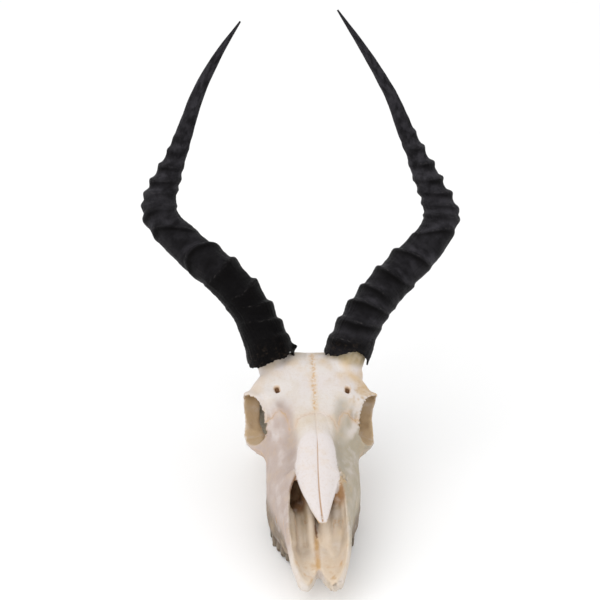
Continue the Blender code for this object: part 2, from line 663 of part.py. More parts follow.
def main():
    """Build every piece and centre the whole on the origin."""
    clear_scene()
    bone = make_material("bone", BONE_COLOUR, 0.55)
    keratin = make_material("horn", HORN_COLOUR, 0.45)
    enamel = make_material("tooth", TOOTH_COLOUR, 0.4)
    horns = (
        ("left", Horn(LEFT_HORN, LEFT_RINGS, LEFT_RADII)),
        ("right", Horn(RIGHT_HORN, RIGHT_RINGS, RIGHT_RADII)),
    )

    cranium = build_cranium(bone)
    for name, horn in horns:
        seat = bmesh.new()
        horn.add_seat(seat)
        cut_or_join(cranium, "DIFFERENCE", new_cutter(f"horn_seat_{name}", seat))
        core = bmesh.new()
        horn.add_core(core)
        cut_or_join(cranium, "UNION", new_cutter(f"horn_core_{name}", core))
        sheath = bmesh.new()
        horn.add_sheath(sheath)
        new_object(f"horn_sheath_{name}", sheath, keratin)

    for name, side in (("left", -1), ("right", 1)):
        trough = bmesh.new()
        add_socket_row(trough, side)
        cut_or_join(cranium, "DIFFERENCE", new_cutter(f"tooth_sockets_{name}", trough))
        for tooth in TEETH:
            shape = bmesh.new()
            add_tooth(shape, tooth, side)
            new_object(f"{tooth[0]}_{name}", shape, enamel)

    slab = bmesh.new()
    wide = TABLE_HALF_WIDTH
    front, rear = TABLE_ENDS
    plan = ((-wide, front), (wide, front), (wide, rear), (-wide, rear))
    add_loft(slab, [[(x, y, z) for x, y in plan] for z in (-TABLE_DEPTH, 0)])
    cut_or_join(cranium, "DIFFERENCE", new_cutter("table_plane", slab))

    for thing in bpy.data.objects:
        thing.location = (-BOX_CENTRE_X * MM, -BOX_CENTRE_Y * MM, 0)


main()
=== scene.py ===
"""Looks of an impala skull without its lower jaw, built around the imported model.

Sizes in the tables are in millimetres of skull measure: X runs across the skull, Y is counted
backwards from the tips of the muzzle and Z is up from the surface that the teeth stand on.
The function placed turns them into the metres of the frame.
"""

import math

import bmesh
import bpy
import numpy as np
from bpy.props import FloatProperty, FloatVectorProperty, IntProperty, PointerProperty
from bpy.types import Operator, Panel, PropertyGroup
from mathutils import Matrix, Vector, kdtree, noise
from mathutils.bvhtree import BVHTree


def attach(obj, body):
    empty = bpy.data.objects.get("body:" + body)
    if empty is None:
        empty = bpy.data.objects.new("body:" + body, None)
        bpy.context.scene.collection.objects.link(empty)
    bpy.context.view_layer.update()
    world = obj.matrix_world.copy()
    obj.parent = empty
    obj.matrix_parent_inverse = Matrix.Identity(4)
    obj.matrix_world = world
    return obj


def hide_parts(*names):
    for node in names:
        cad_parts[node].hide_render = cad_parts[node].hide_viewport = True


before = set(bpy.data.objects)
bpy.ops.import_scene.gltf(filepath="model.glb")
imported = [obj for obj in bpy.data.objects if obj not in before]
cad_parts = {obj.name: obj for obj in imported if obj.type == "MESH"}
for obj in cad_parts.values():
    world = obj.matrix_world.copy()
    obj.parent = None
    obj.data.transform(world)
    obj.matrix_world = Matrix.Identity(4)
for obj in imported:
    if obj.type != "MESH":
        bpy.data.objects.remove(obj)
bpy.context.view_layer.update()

bl_info = {
    "name": "Impala skull",
    "version": (1, 0, 0),
    "blender": (4, 5, 0),
    "location": "3D View > Sidebar > Skull",
    "description": "Builds the bone, horns and cheek teeth of an impala skull and the stage around it",
    "category": "Add Mesh",
}

MM = 0.001
FAR = 99.0
BOX_CENTRE_X = -5.42
BOX_CENTRE_Y = 184.39

# Outline of the face and braincase, right half, as (x, z) from the midline above to the midline below
SKULL_SECTIONS = (
    (2.0, ((0, 25.5), (8, 26.5), (14, 26.5), (16.6, 24.8), (16, 22.4), (11, 20.6), (0, 20))),
    (6.2, ((0, 27.5), (9, 29), (17, 29), (19.6, 26.5), (18.4, 22), (13, 19.4), (0, 19))),
    (12, ((0, 30), (12, 33), (19.5, 32), (21, 28), (19, 22), (14, 18.5), (0, 18))),
    (25, ((0, 37), (14, 40), (23.5, 39), (24.5, 32), (20.5, 22), (15, 17.5), (0, 17.5))),
    (42, ((0, 47), (16, 50), (26.5, 49), (27, 38), (22.5, 25), (17, 18), (0, 18.5))),
    (62, ((0, 60), (16, 61), (26.5, 60), (28.5, 46), (26.5, 29), (21, 19), (0, 20))),
    (78, ((0, 70), (13, 71), (24.5, 69), (32, 53), (32, 32), (26, 20), (0, 21.5))),
    (92, ((0, 79), (11, 79), (21, 77), (33.5, 59), (35, 34), (30, 20), (0, 23))),
    (104, ((0, 84), (12, 83.5), (21, 79.5), (35.5, 62), (38.2, 30), (33, 20.5), (0, 24))),
    (118, ((0, 90), (11, 89), (19, 83.5), (37, 64), (40.6, 31), (35, 21), (0, 25))),
    (136, ((0, 98), (10, 97), (19, 90.5), (37.5, 70), (40.3, 40), (34, 22.5), (0, 27))),
    (150, ((0, 103.5), (13, 103), (28, 96.5), (39, 82), (37, 54), (26, 32), (0, 31))),
    (163, ((0, 108), (20, 108), (36, 104), (31, 84), (26, 58), (20, 38), (0, 36))),
    (176, ((0, 112.5), (26, 112.5), (44, 107), (30, 88), (25, 64), (18, 42), (0, 38))),
    (189, ((0, 118), (30, 117.5), (54, 102.5), (32, 90), (27, 68), (18, 45), (0, 39))),
    (203, ((0, 125), (28, 124), (44, 111), (36, 95), (31, 70), (18, 47), (0, 39))),
    (218, ((0, 125.5), (25, 125), (37, 111), (35.5, 92), (33, 68), (19, 44), (0, 37))),
    (234, ((0, 116), (20, 114.5), (31, 104), (35, 86), (33.5, 64), (21, 41), (0, 35))),
    (249, ((0, 101), (17, 99.5), (28, 91), (32, 76), (30, 57), (20, 39), (0, 34))),
    (260, ((0, 87), (13, 86), (23, 80), (27, 68), (25, 53), (16, 40), (0, 36))),
    (266, ((0, 76), (8, 75), (15, 71), (17, 63), (15, 53), (9, 45), (0, 43))),
)

# Slight bend of the muzzle to the right: (y, sideways shift)
MUZZLE_BEND = (
    (0, 1.5), (12, 1.5), (30, 1.8), (45, 1.6), (62, 0.9), (78, 0.9), (125, 1.75), (160, 0.3), (190, 0),
)

# Hollow of the nose, open above in front of the nasal bones
NOSE_SECTIONS = (
    (-12, ((0, 50), (10, 50), (14, 38), (12, 31), (8, 28.5), (4, 27.6), (0, 27.4))),
    (10, ((0, 60), (13, 58), (17, 37), (14, 30), (9, 27.6), (4, 27), (0, 27.4))),
    (25, ((0, 75), (16, 72), (21.4, 44), (18.4, 33), (12, 27.4), (6, 27), (0, 28.6))),
    (42, ((0, 85), (18, 82), (23.8, 53), (20.4, 38), (14.5, 28), (7, 28.8), (0, 30.5))),
    (62, ((0, 95), (19, 92), (23.8, 62), (20.5, 44), (14, 28.5), (7, 32), (0, 33.5))),
    (80, ((0, 104), (20, 102), (22.4, 72), (22, 50), (15, 32), (8, 36.5), (0, 38))),
    (86, ((0, 106), (17.5, 104), (20.4, 75), (23.5, 53), (17, 34), (8.6, 38.4), (0, 40.4))),
    (92, ((0, 108), (14.5, 106), (17.4, 79), (24.5, 55), (18, 36), (9, 40.6), (0, 42.6))),
    (98, ((0, 108), (13, 104), (16.5, 80), (27, 58), (20, 38), (9, 42), (0, 44))),
    (105, ((0, 80), (11, 78), (18, 70), (28, 56), (22, 40), (9, 43), (0, 45))),
    (120, ((0, 84), (8, 82), (17, 72), (29, 56), (23, 44), (9, 46), (0, 47))),
    (140, ((0, 88), (6, 86), (14, 74), (18, 58), (14, 50), (7, 48), (0, 49))),
)
# The colours of the nose end at this y and width, and fade this far outside its hollow
NOSE_END = 137
NOSE_WIDTH = 34
NOSE_FADE = 1.2
# Passage from the nose to the throat
CHOANA_PATH = ((0, 124, 46), (0, 144, 40), (0, 160, 28), (0, 168, 14))
CHOANA_RADII = ((9, 9), (9, 8), (10, 8), (11, 10))
# Notch between the twin tips of the muzzle as (x, y), and its lowest and highest z
NOTCH_PLAN = (
    (-13, -5), (-10.6, 2), (-7.2, 9), (-4.3, 16.5), (-1.6, 26),
    (0.4, 26), (3.8, 16), (6.8, 9), (9.4, 2), (10.4, -5),
)
NOTCH_HEIGHTS = (5, 60)

# Nasal bones, a pair of arched blades: (y, middle x, crown z, half width, drop at the edge)
NASAL_SECTIONS = (
    (50, 3.3, 59.5, 3.2, 0.8),
    (59, 2.7, 64.5, 7.0, 2.0),
    (70, 2.0, 70, 11.2, 3.4),
    (82, 1.5, 76, 15.6, 5.0),
    (94, 1.2, 82, 18.7, 6.2),
    (104, 1.2, 86.6, 19.4, 6.3),
    (114, 1.2, 91, 18.8, 7.0),
    (124, 1.3, 95.2, 16.8, 6.4),
    (134, 1.4, 98.4, 13.5, 4.6),
    (150, 1.6, 102.6, 8, 2.0),
)
NASAL_THICKNESS = 4.2
NASAL_EDGE_THINNING = 0.12
NASAL_SWELL = 0.05
NASAL_COLUMNS = 7
# The blades are eased in front of the first y, fully in front of the second, down to the start
FREE_BLADES = (97, 91)
FREE_BLADES_START = 44

# Rim of the right eye socket, and the radius of the bead along it
ORBIT_RIM = (
    (39.5, 148, 83), (40, 158, 97), (45.5, 173, 105.5), (56.4, 187, 102), (56.4, 192, 88),
    (54.8, 191, 73), (55.6, 180, 63), (53.8, 163, 65), (46.5, 152, 71),
)
ORBIT_RIM_RADIUS = 2.4
SOCKET_APEX = (21, 181, 82)
# Sections of the hollow of a socket, as shares of the way from its rim to its apex
SOCKET_STATIONS = (-0.6, 0.0, 0.2, 0.4, 0.6, 0.78, 0.9)
SOCKET_FIT = 0.95
SOCKET_TAPER = 0.75
# Bars, arches and processes on both sides: path and (across, up) radii
TUBES_BOTH_SIDES = {
    "bar": (
        ((50.6, 192, 100), (49.9, 193, 86), (49.3, 193, 74), (49.2, 192, 62)),
        ((7.8, 2.6), (7, 2.4), (6.6, 2.4), (7.4, 2.8)),
    ),
    "socket floor": (
        ((44, 153, 66), (45, 164, 65), (46.5, 180, 64), (48.5, 193, 64)),
        ((5, 4), (8, 3.2), (8, 2.8), (7.6, 2.8)),
    ),
    "cheek arch": (
        ((31, 128, 47), (33, 140, 60), (39, 149, 66.5), (48, 160, 64.5), (52.5, 178, 62.5),
         (53.2, 196, 61.5), (50.5, 212, 63), (45, 226, 64), (35, 236, 62)),
        ((5.5, 7.5), (5.6, 7), (4.6, 4.8), (3.6, 4.2), (3.3, 4.6), (3, 5), (3, 5), (4.5, 4.5), (6, 6)),
    ),
    "arch root": (
        ((50, 208, 65), (44.5, 220, 70), (36, 231, 76)),
        ((4, 5), (6.5, 8), (8, 10)),
    ),
    "lacrimal": (
        ((33, 145, 88), (36.5, 147.5, 80), (40, 151, 74), (44, 155, 69)),
        ((4.6, 4.6), (4, 4), (4, 4), (4, 4)),
    ),
    "side process": (
        ((27, 244, 50), (27.5, 248, 34), (26.5, 251, 16), (25, 252, -4)),
        ((6, 8), (5, 7), (3.8, 5.4), (3, 4.4)),
    ),
    "ear": (
        ((26, 236, 52), (34, 238, 52), (41, 239, 55)),
        ((9, 10), (7, 8), (5, 5.5)),
    ),
    "pterygoid": (
        ((14, 146, 24), (13, 158, 27), (12.5, 172, 31), (13, 190, 38)),
        ((2.6, 9), (2.2, 10), (2.2, 9), (2.6, 5)),
    ),
}
# Feet of the horns, left and right: path and radii
HORN_NECKS = (
    (
        ((-20.4, 204, 90), (-24, 207, 100), (-27.4, 210, 109), (-31, 213, 116.5)),
        ((16.2, 20), (18.2, 21), (17.2, 19.6), (14, 16.6)),
    ),
    (
        ((22, 204, 90), (26, 207, 100), (29.5, 210, 109), (32.5, 213, 116.5)),
        ((17, 20), (20, 21), (19.4, 19.6), (16.6, 16.6)),
    ),
)
# Flat-sided bodies: the corner of the cheek below the socket, and the shelf of the jaw joint
CHEEK_CORNER = (
    (55, 157.8, 69.5), (55.6, 163, 66), (54.6, 158.6, 63.6), (48.4, 151.8, 64), (43, 147.6, 63.2),
    (38.6, 143.6, 62), (36.4, 140.6, 58.5), (46.5, 151.6, 72), (41, 149, 75), (37, 145, 77),
    (32, 146, 67), (46, 166, 62), (50, 172, 64),
)
JAW_SHELF = (
    (26, 204, 60), (26, 204, 44), (49, 204, 62), (49, 205, 47), (49, 216, 66),
    (46, 223, 55), (38, 232, 70), (30, 237, 47), (26, 237, 72),
)
# Rounded bodies: centre and radii
BALLS_BOTH_SIDES = {
    "condyle": ((12.5, 259, 41), (9.5, 10, 11)),
    "bulla": ((19.5, 230, 34), (9, 13, 12)),
    "facial tuber": ((36, 118, 28), (5.3, 12, 8)),
}
OCCIPUT = ((0, 254, 58), (24, 12, 24))
NUCHAL_CREST_PATH = ((33, 250, 58), (29, 257, 74), (17, 262, 84), (0, 263, 87))
NUCHAL_CREST_RADIUS = 3.2
FORAMEN_MAGNUM_PATH = ((0, 240, 55), (0, 258, 53), (0, 280, 47))
FORAMEN_MAGNUM_RADII = ((8, 7.5), (9, 8.5), (10, 10))
# Space below the surface that the skull stands on
TABLE_PLAN = ((-90, -20), (90, -20), (90, 300), (-90, 300))
TABLE_HEIGHTS = (-30, 0)
# Walls and scrolls inside the nose: path and radii
INSIDE_NOSE = {
    "septum": (
        ((-1.7, 27, 25.5), (-1, 44, 28), (-0.4, 62, 31), (0, 84, 37), (0, 112, 47), (0, 140, 52)),
        ((1.6, 2.6), (2, 3.4), (1.8, 4), (1.6, 6), (1.5, 12), (1.5, 12)),
    ),
    "left scroll": (
        ((-5, 54, 30), (-5.6, 68, 37), (-6.4, 82, 47), (-7.4, 98, 57), (-8, 120, 63), (-8, 138, 66)),
        ((3.6, 4), (4.6, 7), (5.2, 11), (6, 14), (6.5, 14), (5, 12)),
    ),
    "left bank": (
        ((-15.5, 54, 26), (-16, 64, 33), (-16, 74, 39), (-16, 86, 42), (-16, 98, 42)),
        ((5, 6), (6, 8), (6.4, 9), (6.6, 9), (6.6, 8)),
    ),
    "left pocket": (
        ((-17, 106, 40), (-17, 108, 52), (-16, 112, 64)),
        ((9, 8), (9, 8), (9, 8)),
    ),
    "right scroll": (
        ((7, 56, 30), (8, 70, 39), (9.5, 84, 49), (10.5, 98, 58), (11, 120, 64), (8, 138, 66)),
        ((4, 4), (5.4, 8), (6.2, 12), (7, 15), (8, 14), (5, 12)),
    ),
    "right bank": (
        ((15.5, 48, 25), (16.5, 60, 34), (17, 72, 45), (17.5, 84, 56), (17, 96, 64), (15, 108, 66)),
        ((5, 6), (6.4, 9), (7, 11), (7, 12), (7, 12), (6, 10)),
    ),
    "left wall": (
        ((-21.5, 44, 38), (-22, 58, 42), (-22.5, 70, 47), (-23, 80, 50)),
        ((3, 6), (4.5, 9), (5, 9), (3, 6)),
    ),
}

# Cheek teeth, front to back: name, y of both ends, x of the outer and inner side, worn height, lobes
TEETH = (
    ("premolar_2", 72.0, 79.8, 25.0, 18.6, 3.0, 1),
    ("premolar_3", 80.4, 88.8, 29.0, 21.0, 2.0, 1),
    ("premolar_4", 89.4, 97.8, 32.2, 22.4, 1.0, 1),
    ("molar_1", 98.4, 110.8, 35.6, 23.6, 0.0, 2),
    ("molar_2", 111.4, 126.8, 37.0, 23.8, 0.0, 2),
    ("molar_3", 127.4, 144.4, 36.6, 24.2, 0.0, 2),
)
ROOT_TOP = 19.0
# Lumps of a crown: period, share of the height, seed
TOOTH_LUMPS = ((3.0, 1, 2.0), (1.4, 0.6, 3.0))
ALVEOLAR_EDGE = 12.5
ALVEOLAR_LIP = 2.6

# Centre line of each sheath from its lower edge to its tip
LEFT_HORN = (
    (-34, 214, 121), (-37, 219, 133), (-44, 229, 147), (-57, 244, 165), (-79, 263, 182), (-100, 281, 191),
    (-114.5, 294, 199.5), (-126, 302, 208.5), (-133, 309.5, 220), (-131.5, 317, 234), (-124.5, 325, 250),
    (-116, 333, 271), (-107, 342, 297), (-97, 349, 324), (-80, 356, 356), (-62.5, 360.5, 383.3),
)
RIGHT_HORN = (
    (33, 214, 124), (37, 219, 135), (44, 229, 147), (55, 244, 158), (72, 264, 170), (91, 282, 182),
    (106, 294, 192), (116.5, 303, 202.5), (122, 311, 215), (118.5, 318, 228), (109.5, 325, 245),
    (99, 333, 266), (87, 341, 290), (74, 348, 319), (50, 357, 357), (24, 366, 393),
)
# Mean radius of each sheath at shares of its length
LEFT_RADII = (
    (0.0, 21.4), (0.04, 20.3), (0.09, 18.8), (0.14, 17.9), (0.2, 17.6), (0.26, 17.8), (0.31, 17.0),
    (0.36, 16.2), (0.4, 15.9), (0.44, 14.9), (0.475, 15.6), (0.505, 15.2), (0.535, 13.4), (0.56, 12.2),
    (0.59, 10.6), (0.62, 9.3), (0.66, 8.4), (0.71, 7.2), (0.76, 6.4), (0.82, 5.4), (0.87, 4.4),
    (0.93, 2.8), (1.0, 0.8),
)
RIGHT_RADII = (
    (0.0, 21.0), (0.04, 20.2), (0.09, 18.6), (0.14, 17.9), (0.2, 17.8), (0.26, 17.5), (0.31, 16.9),
    (0.36, 16.1), (0.4, 15.3), (0.435, 16.2), (0.465, 15.2), (0.495, 12.9), (0.53, 12.0), (0.56, 10.9),
    (0.59, 9.4), (0.62, 8.3), (0.66, 7.5), (0.71, 6.5), (0.76, 5.7), (0.82, 4.8), (0.87, 3.9),
    (0.93, 2.6), (1.0, 0.8),
)
# Growth rings: distance along the horn at its inner side, front and outer side, then height at each
LEFT_RINGS = (
    (16.5, 20, 23, 1.2, 0.8, 0.3), (29.5, 35.5, 41, 2.6, 1.6, 0.4), (44.8, 51, 63, 3.2, 1.2, 0.9),
    (65.3, 62.7, 78, 3.2, 1.4, 0.1), (91, 89, 97, 3.0, 1.4, 1.2), (114, 121, 105, 3.4, 2.6, 0.9),
    (138, 162, 155, 0.6, 1.8, 0.8), (172, 177.5, 170.5, 0.1, 1.0, 2.6), (178, 182, 180.5, 1.0, 0.6, 2.4),
    (199, 192, 188.5, 1.4, 0.8, 2.6), (209.5, 204, 199.7, 1.3, 1.2, 2.6), (221, 218, 214.5, 0.8, 1.0, 2.0),
    (236.5, 234, 230, 0.4, 0.7, 1.2), (248, 246, 243, 0.1, 0.3, 0.5),
)
RIGHT_RINGS = (
    (12.5, 15, 23, 1.8, 1.0, 0.3), (27.6, 30, 40, 2.4, 1.8, 0.3), (44.2, 48.5, 55, 3.0, 2.0, 0.9),
    (62.5, 62, 68.7, 2.6, 0.8, 1.4), (84.5, 86.5, 100, 2.8, 1.6, 1.4), (108.5, 117.5, 119.8, 3.2, 2.0, 0.7),
    (134, 153, 151, 0.8, 2.0, 1.0), (167, 165, 163.2, 1.2, 0.8, 2.4), (184, 177.5, 170, 1.5, 0.8, 2.6),
    (194.5, 190.5, 182.3, 1.6, 1.2, 2.6), (207, 203.5, 197.8, 1.4, 1.3, 2.8),
    (221, 218.5, 213.8, 0.8, 1.3, 2.6), (238, 234.5, 230, 0.4, 1.1, 2.2),
    (249, 248, 246, 0.1, 0.5, 1.2), (262, 262, 260, 0.1, 0.2, 0.4),
)
# Lower edge of each sheath: turn from the front towards the inner side in degrees, distance along the horn
LEFT_EDGE = (
    (-180, 2.0), (-140, 2.5), (-110, 0.5), (-84, 2.0), (-70, 2.2), (-64, -1.8), (-46, -1.4),
    (-26, -1.8), (-4, 0.2), (18, 1.9), (38, 1.2), (55, 2.6), (66, 5.6), (76, 4.6), (86, -1.0),
    (94, -1.2), (102, 3.4), (130, 2.0), (180, 2.0),
)
RIGHT_EDGE = (
    (-180, 2.5), (-130, 3.0), (-96, 6.0), (-74, 8.6), (-64, 6.0), (-59, 0.2), (-54, 3.8),
    (-44, 5.4), (-26, 7.6), (-10, 8.4), (0, 7.6), (14, 5.0), (25, 2.5), (34, 0.5), (43, -0.8),
    (54, -1.8), (66, -0.8), (76, -2.4), (90, -1.4), (100, 0.6), (112, 1.0), (130, 2.0),
    (150, 4.0), (180, 2.5),
)
# Painted sheen of the sheaths, greyer towards the tips: share of the length, greyness; by the side that is
# the inner one
SHEEN = {
    1: ((0, 0.0), (0.22, 0.04), (0.34, 0.38), (0.45, 0.55), (0.6, 0.75), (1, 1.6)),
    -1: ((0, 0.38), (0.1, 0.45), (0.25, 0.5), (0.45, 0.72), (0.6, 1.05), (1, 1.7)),
}
# Rings of the lower part are gentle below and steep above: slopes there and further up
LOW_RINGS_END = 0.43
LOW_RING_SLOPES = (7.5, 2.6)
HIGH_RING_SLOPES = (3.8, 3.0)
# Unevenness of a sheath: height, how fine it is around and along the horn
HORN_LUMPS = (0.8, 1.2, 0.085)
HORN_WRINKLES = (0.3, 1.6, 0.42)
HORN_FIBRES = (0.32, 13, 0.03)
# How much of it is left at shares of the length
HORN_SMOOTHER = ((0, 1), (0.62, 0.8), (0.8, 0.3), (1, 0.05))
# Ripples of the lower edge: how many go round, depth
EDGE_RIPPLES = ((19, 0.25), (37, 0.35))
# Prong at the lower edge of the left sheath: turn in degrees, distance, spread of both, height
PRONG = (97, 6.5, 8, 2.6, 4.6)
# Share of the rings' mean height that is taken off, and the least radius at the tip
RING_SINK = 0.85
TIP_RADIUS = 0.25
# Painted sheen between the rings, the painted light added on their lit sides and the painted shade taken off
# on their shaded ones
SHEEN_BETWEEN_RINGS = 0.62
PAINTED_LIGHT_ON_RINGS = 0.6
PAINTED_SHADE_ON_RINGS = 0.36
FRAME_REACH = 14.0
EDGE_REACH = 26.0
HOLLOW_DEPTH = 58.0
HOLLOW_ROWS = 10
# Wall of the hollow foot at distances along it
HOLLOW_WALLS = ((0, 1.4), (20, 2.6), (HOLLOW_DEPTH, 4.0))
CORE_START = -14.0
CORE_LENGTH = 60.0
CORE_RADII = (13.4, 16.6)
# How fast the cores get thinner below and above the lower edge of the sheaths
CORE_TAPERS = (0.05, 0.04)

# Seams between the bones seen from above as (x, y): path, sideways wander, length of one wander
TOP_SEAMS = {
    "frontal": (((2.0, 216), (2.8, 200), (2.0, 186), (2.8, 170), (2.4, 155)), 1.25, 2.7),
    "frontal again": (((2.6, 216), (2.4, 200), (2.6, 186), (2.2, 170), (2.8, 155)), -1.2, 4.3),
    "nasion": (
        ((-15, 142), (-12.5, 147), (-4, 150.5), (2.4, 151.5), (7, 151.5), (15, 149.5), (21, 144)), 0.5, 4.2),
    "left arc": (((-41, 152), (-35.5, 156.5), (-28.3, 158), (-23, 153.5), (-19.4, 143)), 0.4, 4.6),
    "right arc": (((22.6, 147), (25, 153.5), (29.6, 157), (36, 155.5), (43, 153)), 0.4, 4.6),
    "parietal": (((-33, 236), (-16, 229), (0, 226), (16, 229), (33, 236)), 1.3, 3.3),
}
# Seams seen from the side as (y, z), the same on both sides
SIDE_SEAMS = {
    "premaxilla": (((72, 66), (64, 52), (57, 36), (53, 18)), 0.5, 4.0),
    "lacrimal": (((152, 66), (140, 60), (131, 66), (133, 80), (143, 92)), 0.7, 3.6),
    "cheek": (((190, 70), (198, 62), (212, 57)), 0.5, 3.2),
    "squamosal": (((214, 62), (224, 78), (240, 84), (255, 74)), 0.8, 3.6),
}
# Seams and valleys seen from above begin behind these y
SEAMS_START = 98
VALLEYS_START = 94
# Valleys beside the bridge of the nose as (x, y)
VALLEYS = (
    ((-27, 163), (-21.5, 150), (-19.5, 136), (-20, 118), (-20.5, 100)),
    ((27.5, 163), (23.6, 150), (22.5, 136), (22.5, 118), (23, 100)),
)
# Grooves along lines: measure of the distance from them, share of the seam depth, half width
SEAM_GROOVES = (("seam", 1, 0.6), ("frontal", 0.9, 0.6), ("midline", 1.3, 0.7))
NASAL_EDGE_GROOVE = (1.2, 1.2)
VALLEY_GROOVE = (1.9, 4.6)
HOLE_GROOVE = (0.45, 0.9)
# Layers of noise in the surface: period, share of the height, seed
UNEVEN_LAYERS = ((17, 0.5, 0.0), (6.5, 0.24, 3.0), (2.8, 0.12, 7.0))
# Scallops of the brow: period along it, share, seed
BROW_SCALLOPS = ((0.07, 1, 3.3), (0.027, 0.5, 1.1))
RIM_REACH = 4.5
# How far a scallop moves the brow inwards, backwards and up, as shares of its depth
BROW_PULL = (0.8, 0.25, 0.35)
CHIP_DEPTH = 5.0
TIP_CLEFT = 3.2
# How near seams, small holes (in radii) and brows the surface is split, in each of two rounds
SPLIT_REACHES = ((2.2, 2.4, 2.6), (0.7, 1.8, 0.0))
# Small holes: centre, radius, depth, direction inwards
HOLES = (
    ((-30.2, 179.6, 112), 2.1, 3.6, (0.15, 0.1, -1)),
    ((-29.7, 176.8, 112), 2.0, 3.6, (0.15, 0.1, -1)),
    ((32.2, 179.6, 112), 2.1, 3.6, (-0.1, 0.1, -1)),
    ((32.0, 176.8, 112), 2.0, 3.6, (-0.1, 0.1, -1)),
    ((-37.5, 151.5, 84), 1.2, 3.0, (0.5, 0.6, -0.5)),
    ((39.2, 151.5, 82), 1.2, 3.0, (-0.5, 0.6, -0.5)),
    ((-33, 84, 38), 2.2, 4.0, (1, 0.5, 0)),
    ((34.5, 84, 38), 2.2, 4.0, (-1, 0.5, 0)),
    ((-45, 239, 55.5), 2.8, 6.0, (1, 0, -0.1)),
    ((45, 239, 55.5), 2.8, 6.0, (-1, 0, -0.1)),
)
# Fine grooves that run forward from the holes in the forehead, as (x, y)
HOLE_GROOVES = (
    ((-30.3, 178), (-30.8, 170), (-30, 162)),
    ((32.2, 178), (32.6, 170), (31.6, 162)),
)

# Places that several colours share: the sides of the face and the brows
ON_FACE = (("y", 22, 40), ("y", 172, 150), "sideways")
ON_BROW = (("y", 172, 180), ("y", 200, 190), ("wide", 36, 46), "top")
